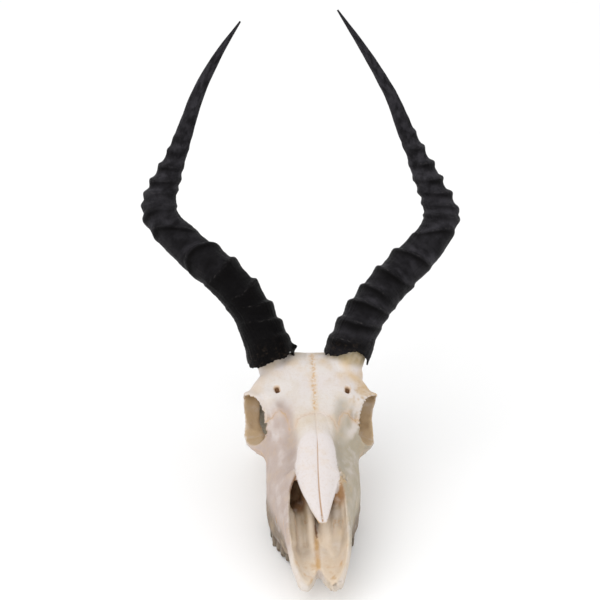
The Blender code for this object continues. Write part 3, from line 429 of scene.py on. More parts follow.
# Colours laid over the bone, in order: name, the noise that mottles it, strength, share of the noise,
# then where it lies, as a measure that it is multiplied by or as (measure, none here, full here)
ZONES = (
    ("rosy", "broad", 0.45, 1.3),
    # Yellower patches, and painted shade on the faces that look down
    ("warm_cream", "patchy", 1, 0, "soiled"),
    ("warm_cream", "patchy", 0.4, 0.8, ("y", 215, 245)),
    # Painted shade on the sides of the face, pinkish on the left and greenish on the right
    ("pink_side", "patchy", 0.95, 0.25, ("across", -13, -22), *ON_FACE),
    ("green_side", "patchy", 0.95, 0.25, ("across", 13, 22), *ON_FACE),
    # Painted shade in the valleys beside the bridge of the nose
    ("pink_valley", "patchy", 0.85, 0.4, "valley", "left"),
    ("grey_valley", "patchy", 0.85, 0.4, "valley", "right"),
    # Creamier dip at the top of the bridge of the nose, partly painted shade
    ("warm_cream", "patchy", 0.75, 0.5, "bridge", ("aside", 24, 16), "top"),
    # Painted shade on the low sides of the face above the cheek teeth, darker towards the bottom
    ("low_stain", "fine", 0.95, 0.3, ("patchy_z", 46, 26), ("y", 52, 68), ("y", 158, 146), "sideways"),
    ("warm_cream", "patchy", 0.75, 0.45, ("y", 44, 24), "right_half"),
    ("warm_cream", "patchy", 0.35, 0.21, ("y", 44, 24), "left_half"),
    ("pale_stain", "patchy", 0.8, 0.6, *ON_BROW, "right"),
    ("pale_stain", "patchy", 0.24, 0.18, *ON_BROW, "left"),
    ("crust", "patchy", 0.28, 0.4, *ON_BROW, "right"),
    ("crust", "patchy", 0.5, 0, ("x", 28, 40), ("y", 146, 156), ("y", 198, 188), "top", ("fine", 0.12, 0.45)),
    # Stain round the feet of the horns, then dirt with painted shade just below the lower edge of each sheath
    ("pale_stain", "patchy", 0.1575, 0.315, ("left_neck", 32, 22)),
    ("neck_olive", "fine", 0.3825, 0.135, "left_neck_top"),
    ("pale_stain", "patchy", 0.35, 0.7, ("right_neck", 32, 22)),
    ("neck_olive", "fine", 0.85, 0.3, "right_neck_top"),
    # Whiter nasal bones with a painted highlight on their arched tops
    ("nasal_white", "patchy", 0.95, 0, "nasal", ("nasal_share", 1.04, 0.96), ("behind_arch", 4, -2)),
    ("socket_tan", "patchy", 0.95, 0.2, "socket"),
    ("socket_brown", "patchy", 0.85, 0, "socket", ("z", 86, 99)),
    # Painted shade on the inner wall of the eye sockets and in the fossa seen behind them
    ("socket_grey", "patchy", 0.75, 0, "socket", ("wide", 40, 31), ("z", 96, 88)),
    ("socket_grey", "patchy", 0.9, 0, "fossa", ("y", 198, 203), ("y", 240, 232), ("wide", 25, 29)),
    ("pale_stain", "patchy", 0.35, 0, "socket", ("z", 76, 66)),
    # Tan inside of the nose with painted shade of its hollow
    ("nose_tan", "patchy", 0.85, 0.3, "inside"),
    ("nose_cream", "patchy", 0.7, 0.3, "inside", "right", ("across", 17.5, 20.5), ("y", 96, 76)),
    ("nose_cream", "patchy", 0.35, 0.15, "inside", "left", ("across", -14, -18), ("y", 80, 70)),
    ("nose_cream", "patchy", 0.9, 0.3, "inside", ("aside", 11, 7.5), ("y", 84, 66)),
    ("nose_cream", "patchy", 0.6, 0.3, "inside", ("aside", 23, 15), ("y", 74, 56)),
    ("nose_cream", "patchy", 0.85, 0.4, "inside", ("y", 50, 36)),
    ("nose_strip", "patchy", 0.95, 0, "inside", ("off_strip", 2.8, 1.0), ("y", 66, 56)),
    ("nose_strip", "patchy", 0.7, 0, "inside", "muzzle_spots", ("y", 46, 26)),
    # Painted shade in the deep pockets of the nose
    ("nose_brown", "patchy", 1.3, 0, "inside", ("y", 74, 86), ("across", -8.5, -11)),
    ("nose_brown", "patchy", 1, 0, "inside", ("y", 92, 104)),
    ("nose_orange", "patchy", 0.9, 0, "inside", ("speckled_z", 55, 63), ("y", 68, 78), ("across", 9, 12)),
    # Painted shade in the slit of the nose
    ("nose_brown", "patchy", 1, 0, "inside", ("from_slit", 1.5, 0.8)),
    ("nose_orange", "patchy", 1, 0, "inside", ("from_spot", 2.4, 0.9)),
    ("crust", "fine", 0.6, 0.8, "chipped", ("x", 17, 19), ("x", 28, 25)),
    # Painted shade in the hole for the spinal cord, and tan with painted shade in the passage to the throat
    ("nose_brown", "patchy", 0.9, 0, "spinal_hole", ("y", 263, 257)),
    ("nose_tan", "patchy", 0.8, 0, "throat", ("y", 172, 160)),
    ("crust", "fine", 0.315, 0.99, ("rim", 2.4, 0.6)),
)
# Middle and half sizes of the ball that the colours of the right eye socket fill
SOCKET_MIDDLE = (43, 173, 83)
SOCKET_SIZE = (20, 27, 24)
# Length of the foot of a horn, along which the dirt of its neck is measured
NECK_SPAN = 13.4

# Camera that sees the skull as the photograph does
TARGET = (0, 200, 100)
ELEVATION = 28.75
TURN = -4.04
ROLL = 2.2
DISTANCE = 2200.0
ASIDE = -8.2
RAISED = 78.62
FOCAL_PIXELS = 2479.4
PICTURE_PIXELS = 600
SENSOR_WIDTH = 36
CLIP_RANGE = (0.05, 60)
# Lights in metres: name, place, size
LIGHTS = (("key_light", (-1.3, -1.5, 2.1), 2.6), ("fill_light", (1.6, -1.9, 1.2), 1.8))
LIT_POINT = (0, 0, 0.12)


def placed(point):
    """Return a point of skull measure in the metres of the frame."""
    return Vector(((point[0] - BOX_CENTRE_X) * MM, (point[1] - BOX_CENTRE_Y) * MM, point[2] * MM))


def in_skull_measure(coordinates):
    """Return an array of frame coordinates in skull measure."""
    return coordinates / MM + (BOX_CENTRE_X, BOX_CENTRE_Y, 0)


def in_frame(points):
    """Return an array of points in skull measure in the metres of the frame."""
    return (points - (BOX_CENTRE_X, BOX_CENTRE_Y, 0)) * MM


def smooth_line(points, per_span, closed=False):
    """Return points on a Catmull-Rom curve through the given ones, per_span to each span."""
    points = np.asarray(points, float)
    if closed:
        spans = len(points)
        padded = np.vstack([points[-1:], points, points[:2]])
    else:
        spans = len(points) - 1
        padded = np.vstack([2 * points[0] - points[1], points, 2 * points[-1] - points[-2]])
    line = []
    for span in range(spans):
        before, start, end, after = padded[span:span + 4]
        for step in range(per_span):
            t = step / per_span
            line.append(0.5 * (
                2 * start + (end - before) * t
                + (2 * before - 5 * start + 4 * end - after) * t ** 2
                + (3 * start - before - 3 * end + after) * t ** 3
            ))
    if not closed:
        line.append(points[-1])
    return np.array(line)


def smooth_step(low, high, values):
    """Return 0 at low and 1 at high, with an eased change between them; high may be the lower one."""
    t = np.clip((values - low) / (high - low), 0, 1)
    return t * t * (3 - 2 * t)


def bell(values, width):
    """Return 1 at 0, falling off evenly to both sides."""
    return np.exp(-(values / width) ** 2)


def bent(points):
    """Return points shifted sideways by the bend of the muzzle."""
    points = np.array(points, float)
    ys, shifts = zip(*MUZZLE_BEND)
    points[..., 0] += np.interp(points[..., 1], ys, shifts)
    return points


def mirrored(points, side):
    """Return points of the right side moved to the side asked for, -1 or 1."""
    return np.asarray(points, float) * (side, 1, 1)


def add_loft(shape, rings, closed=False):
    """Add a body whose skin runs over the rings of points, with capped or joined ends."""
    corners = [[shape.verts.new(placed(point)) for point in bent(ring)] for ring in rings]
    joined = list(zip(corners, corners[1:]))
    if closed:
        joined.append((corners[-1], corners[0]))
    faces = []
    for first, second in joined:
        for i in range(len(first)):
            j = (i + 1) % len(first)
            faces.append(shape.faces.new((first[i], first[j], second[j], second[i])))
    if not closed:
        faces.append(shape.faces.new(corners[0][::-1]))
        faces.append(shape.faces.new(corners[-1]))
    bmesh.ops.recalc_face_normals(shape, faces=faces)


def add_tube(shape, path, radii, sides=20, per_span=5):
    """Add a bar of oval section along a smooth path, with (across, up) radii at each of its points."""
    line = smooth_line(path, per_span)
    sizes = smooth_line(radii, per_span)
    along = np.gradient(line, axis=0)
    along /= np.linalg.norm(along, axis=1)[:, None]
    upright = abs(along[:, 2]).mean() > 0.75
    across = np.cross(along, (0, 1, 0) if upright else (0, 0, 1))
    across /= np.linalg.norm(across, axis=1)[:, None]
    up = np.cross(across, along)
    turn = np.linspace(0, 2 * math.pi, sides, endpoint=False)
    add_loft(shape, [
        centre + np.outer(np.cos(turn) * size[0], right) + np.outer(np.sin(turn) * size[1], high)
        for centre, size, right, high in zip(line, sizes, across, up)
    ])


def add_hoop(shape, path, radius, sides=12, per_span=6):
    """Add a closed ring of round section along a smooth closed path."""
    line = smooth_line(path, per_span, closed=True)
    along = np.roll(line, -1, axis=0) - np.roll(line, 1, axis=0)
    along /= np.linalg.norm(along, axis=1)[:, None]
    outward = line - line.mean(axis=0)
    outward -= (outward * along).sum(axis=1)[:, None] * along
    outward /= np.linalg.norm(outward, axis=1)[:, None]
    aside = np.cross(along, outward)
    turn = np.linspace(0, 2 * math.pi, sides, endpoint=False)
    add_loft(shape, [
        centre + radius * (np.outer(np.cos(turn), out) + np.outer(np.sin(turn), other))
        for centre, out, other in zip(line, outward, aside)
    ], closed=True)


def add_ball(shape, centre, radii):
    """Add an ellipsoid."""
    made = bmesh.ops.create_uvsphere(shape, u_segments=24, v_segments=16, radius=1)
    for vertex in made["verts"]:
        point = [c + r * v for c, r, v in zip(centre, radii, vertex.co)]
        vertex.co = placed(bent(point))


def add_hull(shape, points):
    """Add the tightest flat-sided body round some points."""
    corners = [shape.verts.new(placed(point)) for point in bent(points)]
    made = bmesh.ops.convex_hull(shape, input=corners)
    inner = [item for item in made["geom_interior"] if isinstance(item, bmesh.types.BMVert)]
    bmesh.ops.delete(shape, geom=inner, context="VERTS")


def add_sections(shape, sections, per_span=6):
    """Add a body from a table of half outlines at stations along Y."""
    stations = [np.column_stack([np.full(len(half), y), half]).ravel() for y, half in sections]
    rings = []
    for flat in smooth_line(stations, per_span):
        table = flat.reshape(-1, 3)
        half = table[:, 1:]
        left = half[-2:0:-1] * (-1, 1)
        outline = smooth_line(np.vstack([half, left]), 5, closed=True)
        rings.append(np.column_stack([outline[:, 0], np.full(len(outline), table[0, 0]), outline[:, 1]]))
    add_loft(shape, rings)


def nasal_middle(y):
    """Return the x of the midline between the nasal bones, their half width, crown and drop at y."""
    table = smooth_line(NASAL_SECTIONS, 4)
    middle, crown, half, drop = (np.interp(y, table[:, 0], table[:, column]) for column in range(1, 5))
    ys, shifts = zip(*MUZZLE_BEND)
    return middle + np.interp(y, ys, shifts), half, crown, drop


def add_nasal_bones(shape):
    """Add the pair of arched nasal blades with their twin tips."""
    for side in (-1, 1):
        rings = []
        for y, middle, crown, half, drop in smooth_line(NASAL_SECTIONS, 5):
            across = np.linspace(0.02, 1, NASAL_COLUMNS)
            top = crown - drop * across ** 2 + NASAL_SWELL * half * np.sin(across * math.pi)
            low = top - NASAL_THICKNESS * (1 - NASAL_EDGE_THINNING * across)
            x = middle + side * across * half
            stations = np.full(NASAL_COLUMNS, y)
            upper = np.column_stack([x, stations, top])
            lower = np.column_stack([x, stations, low])[::-1]
            rings.append(np.vstack([upper, lower]))
        add_loft(shape, rings)


def ease_blades(piece):
    """Move the free part of the nasal bones onto an even arched form with rounded edges."""
    points = in_skull_measure(vertex_array(piece.data, "co"))
    x, y = points.T[:2]
    round_off = NASAL_THICKNESS / 2
    foot_y = np.maximum(y, NASAL_SECTIONS[0][0] + round_off)
    middle, half, crown, drop = nasal_middle(foot_y)
    reach = half - round_off
    aside = np.clip(x - middle, -reach, reach)
    across = np.abs(aside) / half
    foot_z = crown - drop * across ** 2 + NASAL_SWELL * half * np.sin(across * math.pi) - round_off
    foot = np.column_stack([middle + aside, foot_y, foot_z])
    away = points - foot
    gap = np.linalg.norm(away, axis=1)
    near = (gap > 0.3) & (gap < round_off + 1.7) & (y > FREE_BLADES_START)
    weight = near * smooth_step(*FREE_BLADES, y)
    target = foot + away * (round_off / np.maximum(gap, 0.3))[:, None]
    points += (target - points) * weight[:, None]
    piece.data.vertices.foreach_set("co", in_frame(points).ravel())
    piece.data.update()


def add_tooth_ledges(shape):
    """Add the ledges of bone that hold the cheek teeth."""
    for side in (-1, 1):
        first, last = TEETH[0], TEETH[-1]
        stations = [(first[1] - 4, first[3] - 1, first[4] + 1)]
        stations += [((tooth[1] + tooth[2]) / 2, tooth[3], tooth[4]) for tooth in TEETH]
        stations += [(last[2] + 5, last[3] - 2, last[4] + 1)]
        rings = []
        for y, outer, inner in smooth_line(stations, 3):
            out = outer + ALVEOLAR_LIP
            into = inner - ALVEOLAR_LIP
            low = ALVEOLAR_EDGE
            outline = ((out, 30), (out + 1, 20), (out - 0.6, low + 0.8), (out - 1.6, low),
                       (into + 1.6, low), (into + 0.6, low + 0.8), (into - 1, 20), (into - 2, 30))
            rings.append([(side * x, y, z) for x, z in outline])
        add_loft(shape, rings)


def add_horn_cores(shape):
    """Add the bony cores that rise into the horn sheaths, tapered to both ends."""
    below, above = CORE_TAPERS
    for path, radii, radius in zip((LEFT_HORN, RIGHT_HORN), (LEFT_RADII, RIGHT_RADII), CORE_RADII):
        horn = Horn(path, radii)
        places = np.linspace(CORE_START, CORE_LENGTH, 7)
        line = np.array([horn.centre(np.array([s]))[0] for s in places])
        sizes = [[radius - above * s if s > 0 else radius + below * s] * 2 for s in places]
        add_tube(shape, line, sizes, sides=28, per_span=3)


def outer_form():
    """Return the solid form of the bone as overlapping bodies."""
    shape = bmesh.new()
    add_sections(shape, SKULL_SECTIONS)
    for side in (-1, 1):
        add_hoop(shape, mirrored(ORBIT_RIM, side), ORBIT_RIM_RADIUS)
        for path, radii in TUBES_BOTH_SIDES.values():
            add_tube(shape, mirrored(path, side), radii)
        for centre, radii in BALLS_BOTH_SIDES.values():
            add_ball(shape, mirrored(centre, side), radii)
        for points in (CHEEK_CORNER, JAW_SHELF):
            add_hull(shape, mirrored(points, side))
    for path, radii in HORN_NECKS:
        add_tube(shape, path, radii)
    crest = np.vstack([mirrored(NUCHAL_CREST_PATH, -1)[:-1], mirrored(NUCHAL_CREST_PATH, 1)[::-1]])
    add_tube(shape, crest, [(NUCHAL_CREST_RADIUS, NUCHAL_CREST_RADIUS)] * len(crest))
    add_ball(shape, *OCCIPUT)
    add_tooth_ledges(shape)
    add_horn_cores(shape)
    return shape


def nose_hollow():
    """Return the hollow of the nose."""
    shape = bmesh.new()
    add_sections(shape, NOSE_SECTIONS)
    return shape


def socket_hollow(side):
    """Return the cone of an eye socket, from outside its rim to its rounded apex."""
    rim = smooth_line(mirrored(ORBIT_RIM, side), 5, closed=True)
    middle = rim.mean(axis=0)
    apex = mirrored(SOCKET_APEX, side)
    rings = []
    for way in SOCKET_STATIONS:
        share = SOCKET_FIT * (1 - SOCKET_TAPER * max(way, 0) ** 1.8)
        rings.append(middle + (apex - middle) * way + (rim - middle) * share)
    shape = bmesh.new()
    add_loft(shape, rings)
    return shape


def other_hollows():
    """Return the throat, the hole for the spinal cord, the notch, the sockets and all below the table."""
    choana, spinal, notch, table = (bmesh.new() for _ in range(4))
    add_tube(choana, CHOANA_PATH, CHOANA_RADII)
    add_tube(spinal, FORAMEN_MAGNUM_PATH, FORAMEN_MAGNUM_RADII)
    add_loft(notch, [[(x, y, z) for x, y in NOTCH_PLAN] for z in NOTCH_HEIGHTS])
    add_loft(table, [[(x, y, z) for x, y in TABLE_PLAN] for z in TABLE_HEIGHTS])
    return choana, spinal, notch, table, socket_hollow(-1), socket_hollow(1)


def new_object(name, shape):
    """Turn a bmesh into the one selected object of the scene."""
    mesh = bpy.data.meshes.new(name)
    shape.to_mesh(mesh)
    shape.free()
    thing = bpy.data.objects.new(name, mesh)
    bpy.context.scene.collection.objects.link(thing)
    make_active(thing)
    return thing


def make_active(thing):
    """Leave only this object selected."""
    bpy.ops.object.select_all(action="DESELECT")
    thing.select_set(True)
    bpy.context.view_layer.objects.active = thing


def apply_modifier(thing, kind, **settings):
    """Add a modifier to the active object and apply it."""
    make_active(thing)
    modifier = thing.modifiers.new(kind.title(), kind)
    for name, value in settings.items():
        setattr(modifier, name, value)
    bpy.ops.object.modifier_apply(modifier=modifier.name)


def cut_away(thing, shape):
    """Cut a body out of an object."""
    cutter = new_object("cutter", shape)
    apply_modifier(thing, "BOOLEAN", operation="DIFFERENCE", object=cutter, solver="EXACT")
    bpy.data.objects.remove(cutter, do_unlink=True)


def vertex_array(mesh, name):
    """Return a vector property of every vertex as an array."""
    values = np.zeros(len(mesh.vertices) * 3)
    mesh.vertices.foreach_get(name, values)
    return values.reshape(-1, 3)


def finish_piece(piece, material, slot, *nodes):
    """Give a piece its material, hang it on the root body and hide the imported parts that it stands for."""
    piece.data.materials.clear()
    piece.data.materials.append(material)
    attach(piece, "root")
    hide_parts(*nodes)


def wandering(path, wander, period, seed):
    """Return a dense line along a path that wanders from side to side as a bone seam does."""
    line = smooth_line(path, 24)
    steps = np.linalg.norm(np.diff(line, axis=0), axis=1)
    distance = np.concatenate([[0], np.cumsum(steps)])
    places = np.arange(0, distance[-1], 0.3)
    line = np.column_stack([np.interp(places, distance, line[:, axis]) for axis in range(2)])
    along = np.gradient(line, axis=0)
    along /= np.linalg.norm(along, axis=1)[:, None]
    across = np.column_stack([-along[:, 1], along[:, 0]])
    phase = places / period
    swing = np.array([noise.noise(Vector((p * 1.7, seed, 0.5))) for p in phase])
    swing = swing + 0.75 * np.sin(phase * 2 * math.pi + 2 * swing)
    return line + across * (swing * wander)[:, None]


def flat_distance(points, lines):
    """Return how far each point is from the nearest of some dense lines, both seen as flat."""
    places = np.vstack(lines)
    tree = kdtree.KDTree(len(places))
    for index, place in enumerate(places):
        tree.insert((place[0], place[1], 0), index)
    tree.balance()
    return np.array([tree.find((x, y, 0))[2] for x, y in points])


def seam_lines():
    """Return the wandering lines of the seams, seen from above and seen from the side."""
    top = [wandering(*seam, seed) for seed, seam in enumerate(TOP_SEAMS.values())]
    side = [wandering(*seam, seed) for seed, seam in enumerate(SIDE_SEAMS.values(), 9)]
    return top, side


def midline_between_nasals():
    """Return the line between the nasal bones from the forehead to their tips, seen from above."""
    ys = np.arange(51, 153, 0.5)
    return np.column_stack([nasal_middle(ys)[0], ys])


def nasal_edges():
    """Return the outer edges of the nasal bones where they lie on the bone beside them."""
    ys = np.arange(98, 150, 0.5)
    middle, half, _, _ = nasal_middle(ys)
    return [np.column_stack([middle + side * half, ys]) for side in (-1, 1)]


class Relief:
    """Measures of every vertex that the carving and the colours of the bone use."""

    def __init__(self, mesh):
        self.points = in_skull_measure(vertex_array(mesh, "co"))
        self.normals = vertex_array(mesh, "normal")
        x, y, z = self.points.T
        self.middle, half, crown, drop = nasal_middle(y)
        self.across = np.abs(x - self.middle) / half
        self.on_top = (self.normals[:, 2] > 0.1) & (z > 52)
        over_blade = z > crown - drop * self.across ** 2 - 1.6
        self.on_nasal = self.on_top & (self.across < 1.04) & (y < 152) & over_blade
        plain = self.on_top & (self.on_nasal | (y > 100))
        seamed = plain & (y > SEAMS_START)
        top, side = seam_lines()
        self.seam = self.distance(seamed, top[2:])
        self.frontal = self.distance(seamed, top[:2])
        self.midline = self.distance(self.on_nasal, [midline_between_nasals()])
        self.edge = self.distance(seamed, nasal_edges())
        self.valley = self.distance(plain & (y > VALLEYS_START), [smooth_line(path, 20) for path in VALLEYS])
        self.groove = self.distance(seamed, [smooth_line(path, 30) for path in HOLE_GROOVES])
        sideways = (np.abs(self.normals[:, 0]) > 0.25) & (np.abs(x) > 14) & ~self.on_top
        self.seam[sideways] = flat_distance(self.points[sideways][:, 1:], side)

    def distance(self, where, lines):
        """Return the distance from lines seen from above, for the vertices where it counts."""
        found = np.full(len(where), FAR)
        found[where] = flat_distance(self.points[where][:, :2], lines)
        return found

    def hole_distances(self):
        """Yield for each small hole the distances from its axis and centre, and its own sizes."""
        for centre, radius, depth, direction in HOLES:
            inwards = np.array(direction, float)
            inwards /= np.linalg.norm(inwards)
            away = self.points - centre
            along = away @ inwards
            from_axis = np.linalg.norm(away - np.outer(along, inwards), axis=1)
            yield from_axis, np.linalg.norm(away, axis=1), radius, depth, inwards

    def rim_distances(self):
        """Return each vertex's distance from the upper rims of the sockets, and the place along them."""
        away = np.full(len(self.points), FAR)
        place = np.zeros(len(self.points))
        for side in (-1, 1):
            rim = smooth_line(mirrored(ORBIT_RIM[:4], side), 20)
            tree = kdtree.KDTree(len(rim))
            for index, point in enumerate(rim):
                tree.insert(point, index)
            tree.balance()
            x, y, z = self.points.T
            for index in np.flatnonzero((side * x > 30) & (y > 140) & (y < 198) & (z > 74)):
                _, at, gap = tree.find(self.points[index])
                away[index] = gap
                place[index] = side * (1 + at / len(rim))
        return away, place


def refine(piece, wanted):
    """Split the faces whose vertices are wanted into four."""
    shape = bmesh.new()
    shape.from_mesh(piece.data)
    shape.verts.ensure_lookup_table()
    edges = set()
    for face in shape.faces:
        if any(wanted[vertex.index] for vertex in face.verts):
            edges.update(face.edges)
    bmesh.ops.subdivide_edges(shape, edges=list(edges), cuts=1, use_grid_fill=True)
    shape.to_mesh(piece.data)
    shape.free()


def refine_near_details(piece):
    """Make the surface finer near seams, small holes, blade edges and the rims of the sockets."""
    for reach, hole_reach, rim_reach in SPLIT_REACHES:
        relief = Relief(piece.data)
        wanted = (relief.seam < reach) | (relief.frontal < reach + 0.6) | (relief.midline < reach)
        wanted |= relief.rim_distances()[0] < rim_reach
        wanted |= relief.on_nasal & (relief.across > 0.86) & (relief.points[:, 1] < 99) & (rim_reach > 0)
        for from_axis, from_centre, radius, _, _ in relief.hole_distances():
            wanted |= (from_axis < radius * hole_reach) & (from_centre < 4 * radius + 5)
        refine(piece, wanted)


def noise_at(points, period, seed):
    """Return soft noise between about -1 and 1 with the given period in millimetres."""
    return np.array([noise.noise(Vector(point)) for point in points / period + seed])


def scallop_brows(relief, moved, depth):
    """Move the upper rims of the sockets into scallops."""
    away, place = relief.rim_distances()
    near = np.flatnonzero(away < RIM_REACH)
    along = np.column_stack([place[near]] * 3)
    scallop = sum(share * noise_at(along, period, seed) for period, share, seed in BROW_SCALLOPS)
    pull = (1 - (away[near] / RIM_REACH) ** 2) * depth * (scallop - 0.25)
    inwards, back, up = BROW_PULL
    moved[near] += np.outer(pull, (0, back, up))
    moved[near, 0] -= np.sign(relief.points[near, 0]) * inwards * pull


def chip_edges(relief, moved):
    """Part the nasal tips, and chip the right tip of the muzzle and the right edge of the nose."""
    points = relief.points
    x, y, z = points.T
    tips = relief.on_nasal & (y < 57)
    moved[tips, 1] += TIP_CLEFT * bell(relief.midline[tips], 0.9) * smooth_step(57, 51, y[tips])
    ragged = (x > 1) & (y < 16)
    bite = np.maximum(0, noise_at(points[ragged], 3.0, 5.0) + 0.15) * smooth_step(16, 3, y[ragged])
    moved[ragged, 1] += CHIP_DEPTH * bite
    jagged = (x > 17) & (x < 27) & (y > 84) & (y < 104) & (z > 62) & ~relief.on_nasal
    chip = np.maximum(0, noise_at(points[jagged], 2.4, 2.0) + 0.1) * bell(y[jagged] - 95, 6)
    moved[jagged, 2] -= CHIP_DEPTH * chip


def carve(piece, settings):
    """Move the vertices into seams, holes, valleys and the unevenness of real bone."""
    relief = Relief(piece.data)
    points = relief.points
    depth = settings.seam_depth / MM
    groove = sum(depth * share * bell(getattr(relief, name), width) for name, share, width in SEAM_GROOVES)
    share, width = NASAL_EDGE_GROOVE
    groove += share * depth * bell(relief.edge, width) * smooth_step(100, 112, points[:, 1])
    for measure, (deep, width) in ((relief.valley, VALLEY_GROOVE), (relief.groove, HOLE_GROOVE)):
        groove += deep * bell(measure, width)
    uneven = sum(share * noise_at(points, period, seed) for period, share, seed in UNEVEN_LAYERS)
    moved = points + relief.normals * (uneven * settings.unevenness / MM - groove)[:, None]
    for from_axis, from_centre, radius, deep, inwards in relief.hole_distances():
        weight = (from_centre < 4 * radius + 5) / (1 + (from_axis / radius) ** 6)
        moved += np.outer(weight * deep, inwards)
    scallop_brows(relief, moved, settings.rim_chips / MM)
    chip_edges(relief, moved)
    moved[:, 2] = np.maximum(moved[:, 2], 0)
    piece.data.vertices.foreach_set("co", in_frame(moved).ravel())
    piece.data.update()


def add_measure(mesh, name, values):
    """Keep one number for each vertex under a name that the materials read."""
    layer = mesh.attributes.new(name, "FLOAT", "POINT")
    layer.data.foreach_set("value", np.asarray(values, np.float32))


def inside_hollow(relief, hollow_tree):
    """Return how far each vertex belongs to the hollow of the nose, from 0 to 1."""
    x, y, _ = relief.points.T
    inside = np.zeros(len(x))
    places = in_frame(relief.points)
    for index in np.flatnonzero((y < NOSE_END) & (np.abs(x) < NOSE_WIDTH) & ~relief.on_nasal):
        nearest, normal, _, away = hollow_tree.find_nearest(places[index])
        depth = (Vector(places[index]) - nearest).dot(normal)
        inside[index] = 1 if depth < 0 else bell(away / MM, NOSE_FADE)
    return inside


def socket_share(relief):
    """Return how far each vertex is inside an eye socket and faces its middle, from 0 to 1."""
    share = np.zeros(len(relief.points))
    for side in (-1, 1):
        inward = mirrored(SOCKET_MIDDLE, side) - relief.points
        gap = np.linalg.norm(inward / SOCKET_SIZE, axis=1)
        faces = (inward * relief.normals).sum(axis=1) / np.linalg.norm(inward, axis=1)
        share = np.maximum(share, smooth_step(1.3, 1.05, gap) * smooth_step(0.02, 0.3, faces))
    return share


def zone_measures(relief, inside):
    """Return by name the measures of every vertex that the zones of colour are made of."""
    points, normals = relief.points, relief.normals
    x, y, z = points.T
    across = x - relief.middle
    broad, patchy, fine = (noise_at(points, *layer) for layer in ((24, 1.0), (9, 4.0), (3.2, 8.0)))
    wide = np.abs(x)
    in_fossa = (wide < 47) & (z > 42) & (z < 84)
    spots = 0.18 * (across > 0) + 0.9 * smooth_step(0.05, 0.5, patchy + 0.5 * fine)
    slit = np.hypot(across + 2.4, np.maximum(np.abs(y - 67) - 5, 0))
    spot = np.hypot(across + 10.5, y - 70)
    measures = {
        "broad": broad, "patchy": patchy, "fine": fine, "inside": inside, "top": relief.on_top,
        "x": x, "y": y, "z": z, "wide": wide, "left": x <= 0, "right": x > 0,
        "across": across, "aside": np.abs(across), "left_half": across <= 0, "right_half": across > 0,
        "patchy_z": z + 3 * patchy, "speckled_z": z + 2 * fine,
        "sideways": 0.5 + 0.5 * smooth_step(0.15, 0.6, np.abs(normals[:, 0])),
        # Patches, and the faces that look down, where painted shade lies
        "soiled": 0.25 * smooth_step(0.1, 0.5, patchy) + 0.5 * smooth_step(-0.2, -0.7, normals[:, 2]),
        "valley": bell(relief.valley, 5.5),
        "bridge": bell(y - 146, 11),
        "nasal": relief.on_nasal,
        "nasal_share": relief.across,
        "behind_arch": y - 130.5 + 22 * (relief.across - 0.45) ** 2 - 1.5 * patchy,
        "socket": socket_share(relief),
        # Forward-facing walls of the temporal fossa, which get painted shade
        "fossa": in_fossa * smooth_step(-0.1, -0.4, normals[:, 1]),
        "off_strip": np.abs(x - 0.6),
        "muzzle_spots": spots,
        "from_slit": np.where(z < 42, slit, FAR),
        "from_spot": np.where(z < 46, spot, FAR),
        "chipped": bell(y - 91, 6) * (z > 62) * ~relief.on_nasal,
        "spinal_hole": (np.hypot(x, z - 53) < 9.6) & (y > 236),
        "throat": (y > 120) & (wide < 11.5) & (z < 52) & (z > 22) & (inside < 0.5),
        "rim": relief.rim_distances()[0],
    }
    for side, path in (("left", LEFT_HORN), ("right", RIGHT_HORN)):
        gap = np.linalg.norm(points - path[0], axis=1)
        rise = (points - path[0]) @ (np.array(path[1]) - path[0]) / NECK_SPAN
        measures[f"{side}_neck"] = gap
        # Just above the lower edge of each sheath, where dirt and painted shade lie
        measures[f"{side}_neck_top"] = smooth_step(-7, 1, rise) * (gap < 32)
    return measures


def bone_tint(relief, inside, settings):
    """Return the colour of every vertex from the stained zones of the bone and its zones of painted shade and
    painted highlight.
    """
    measures = zone_measures(relief, inside)
    tint = np.tile(np.array(settings.cream), (len(inside), 1))
    for name, mottle, strength, share, *places in ZONES:
        weight = strength + share * measures[mottle]
        for place in places:
            if isinstance(place, str):
                weight = weight * measures[place]
            else:
                measure, none, full = place
                weight = weight * smooth_step(none, full, measures[measure])
        tint += np.clip(weight, 0, 1)[:, None] * (np.array(getattr(settings, name)) - tint)
    return np.clip(tint, 0, 1)


def add_bone_measures(piece, hollow_tree, settings):
    """Keep the zone colours and the distances from seams and holes with the mesh."""
    relief = Relief(piece.data)
    tint = bone_tint(relief, inside_hollow(relief, hollow_tree), settings)
    layer = piece.data.attributes.new("tint", "FLOAT_COLOR", "POINT")
    layer.data.foreach_set("color", np.column_stack([tint, np.ones(len(tint))]).astype(np.float32).ravel())
    x, y, _ = relief.points.T
    faint = 0.55 * (np.abs(x) < 19) * (y > 138) * (y < 160)
    # Share of the painted shade inside each small hole, and of the orange stain round it
    holes = np.zeros(len(tint))
    rims = np.zeros(len(tint))
    for from_axis, from_centre, radius, _, _ in relief.hole_distances():
        near = from_centre < 4 * radius + 6
        holes = np.maximum(holes, near * smooth_step(1.15 * radius, 0.8 * radius, from_axis))
        rims = np.maximum(rims, near * bell(from_axis / radius, 1.6))
    for name, values in (
        ("seam", np.minimum(relief.seam, 20) + faint),
        ("frontal_seam", np.minimum(relief.frontal, 20)),
        ("nasal_line", np.minimum(relief.midline, 20)),
        ("forward", np.clip(y / 150, 0, 1)),
        ("hole", holes),
        ("hole_rim", rims),
    ):
        add_measure(piece.data, name, values)


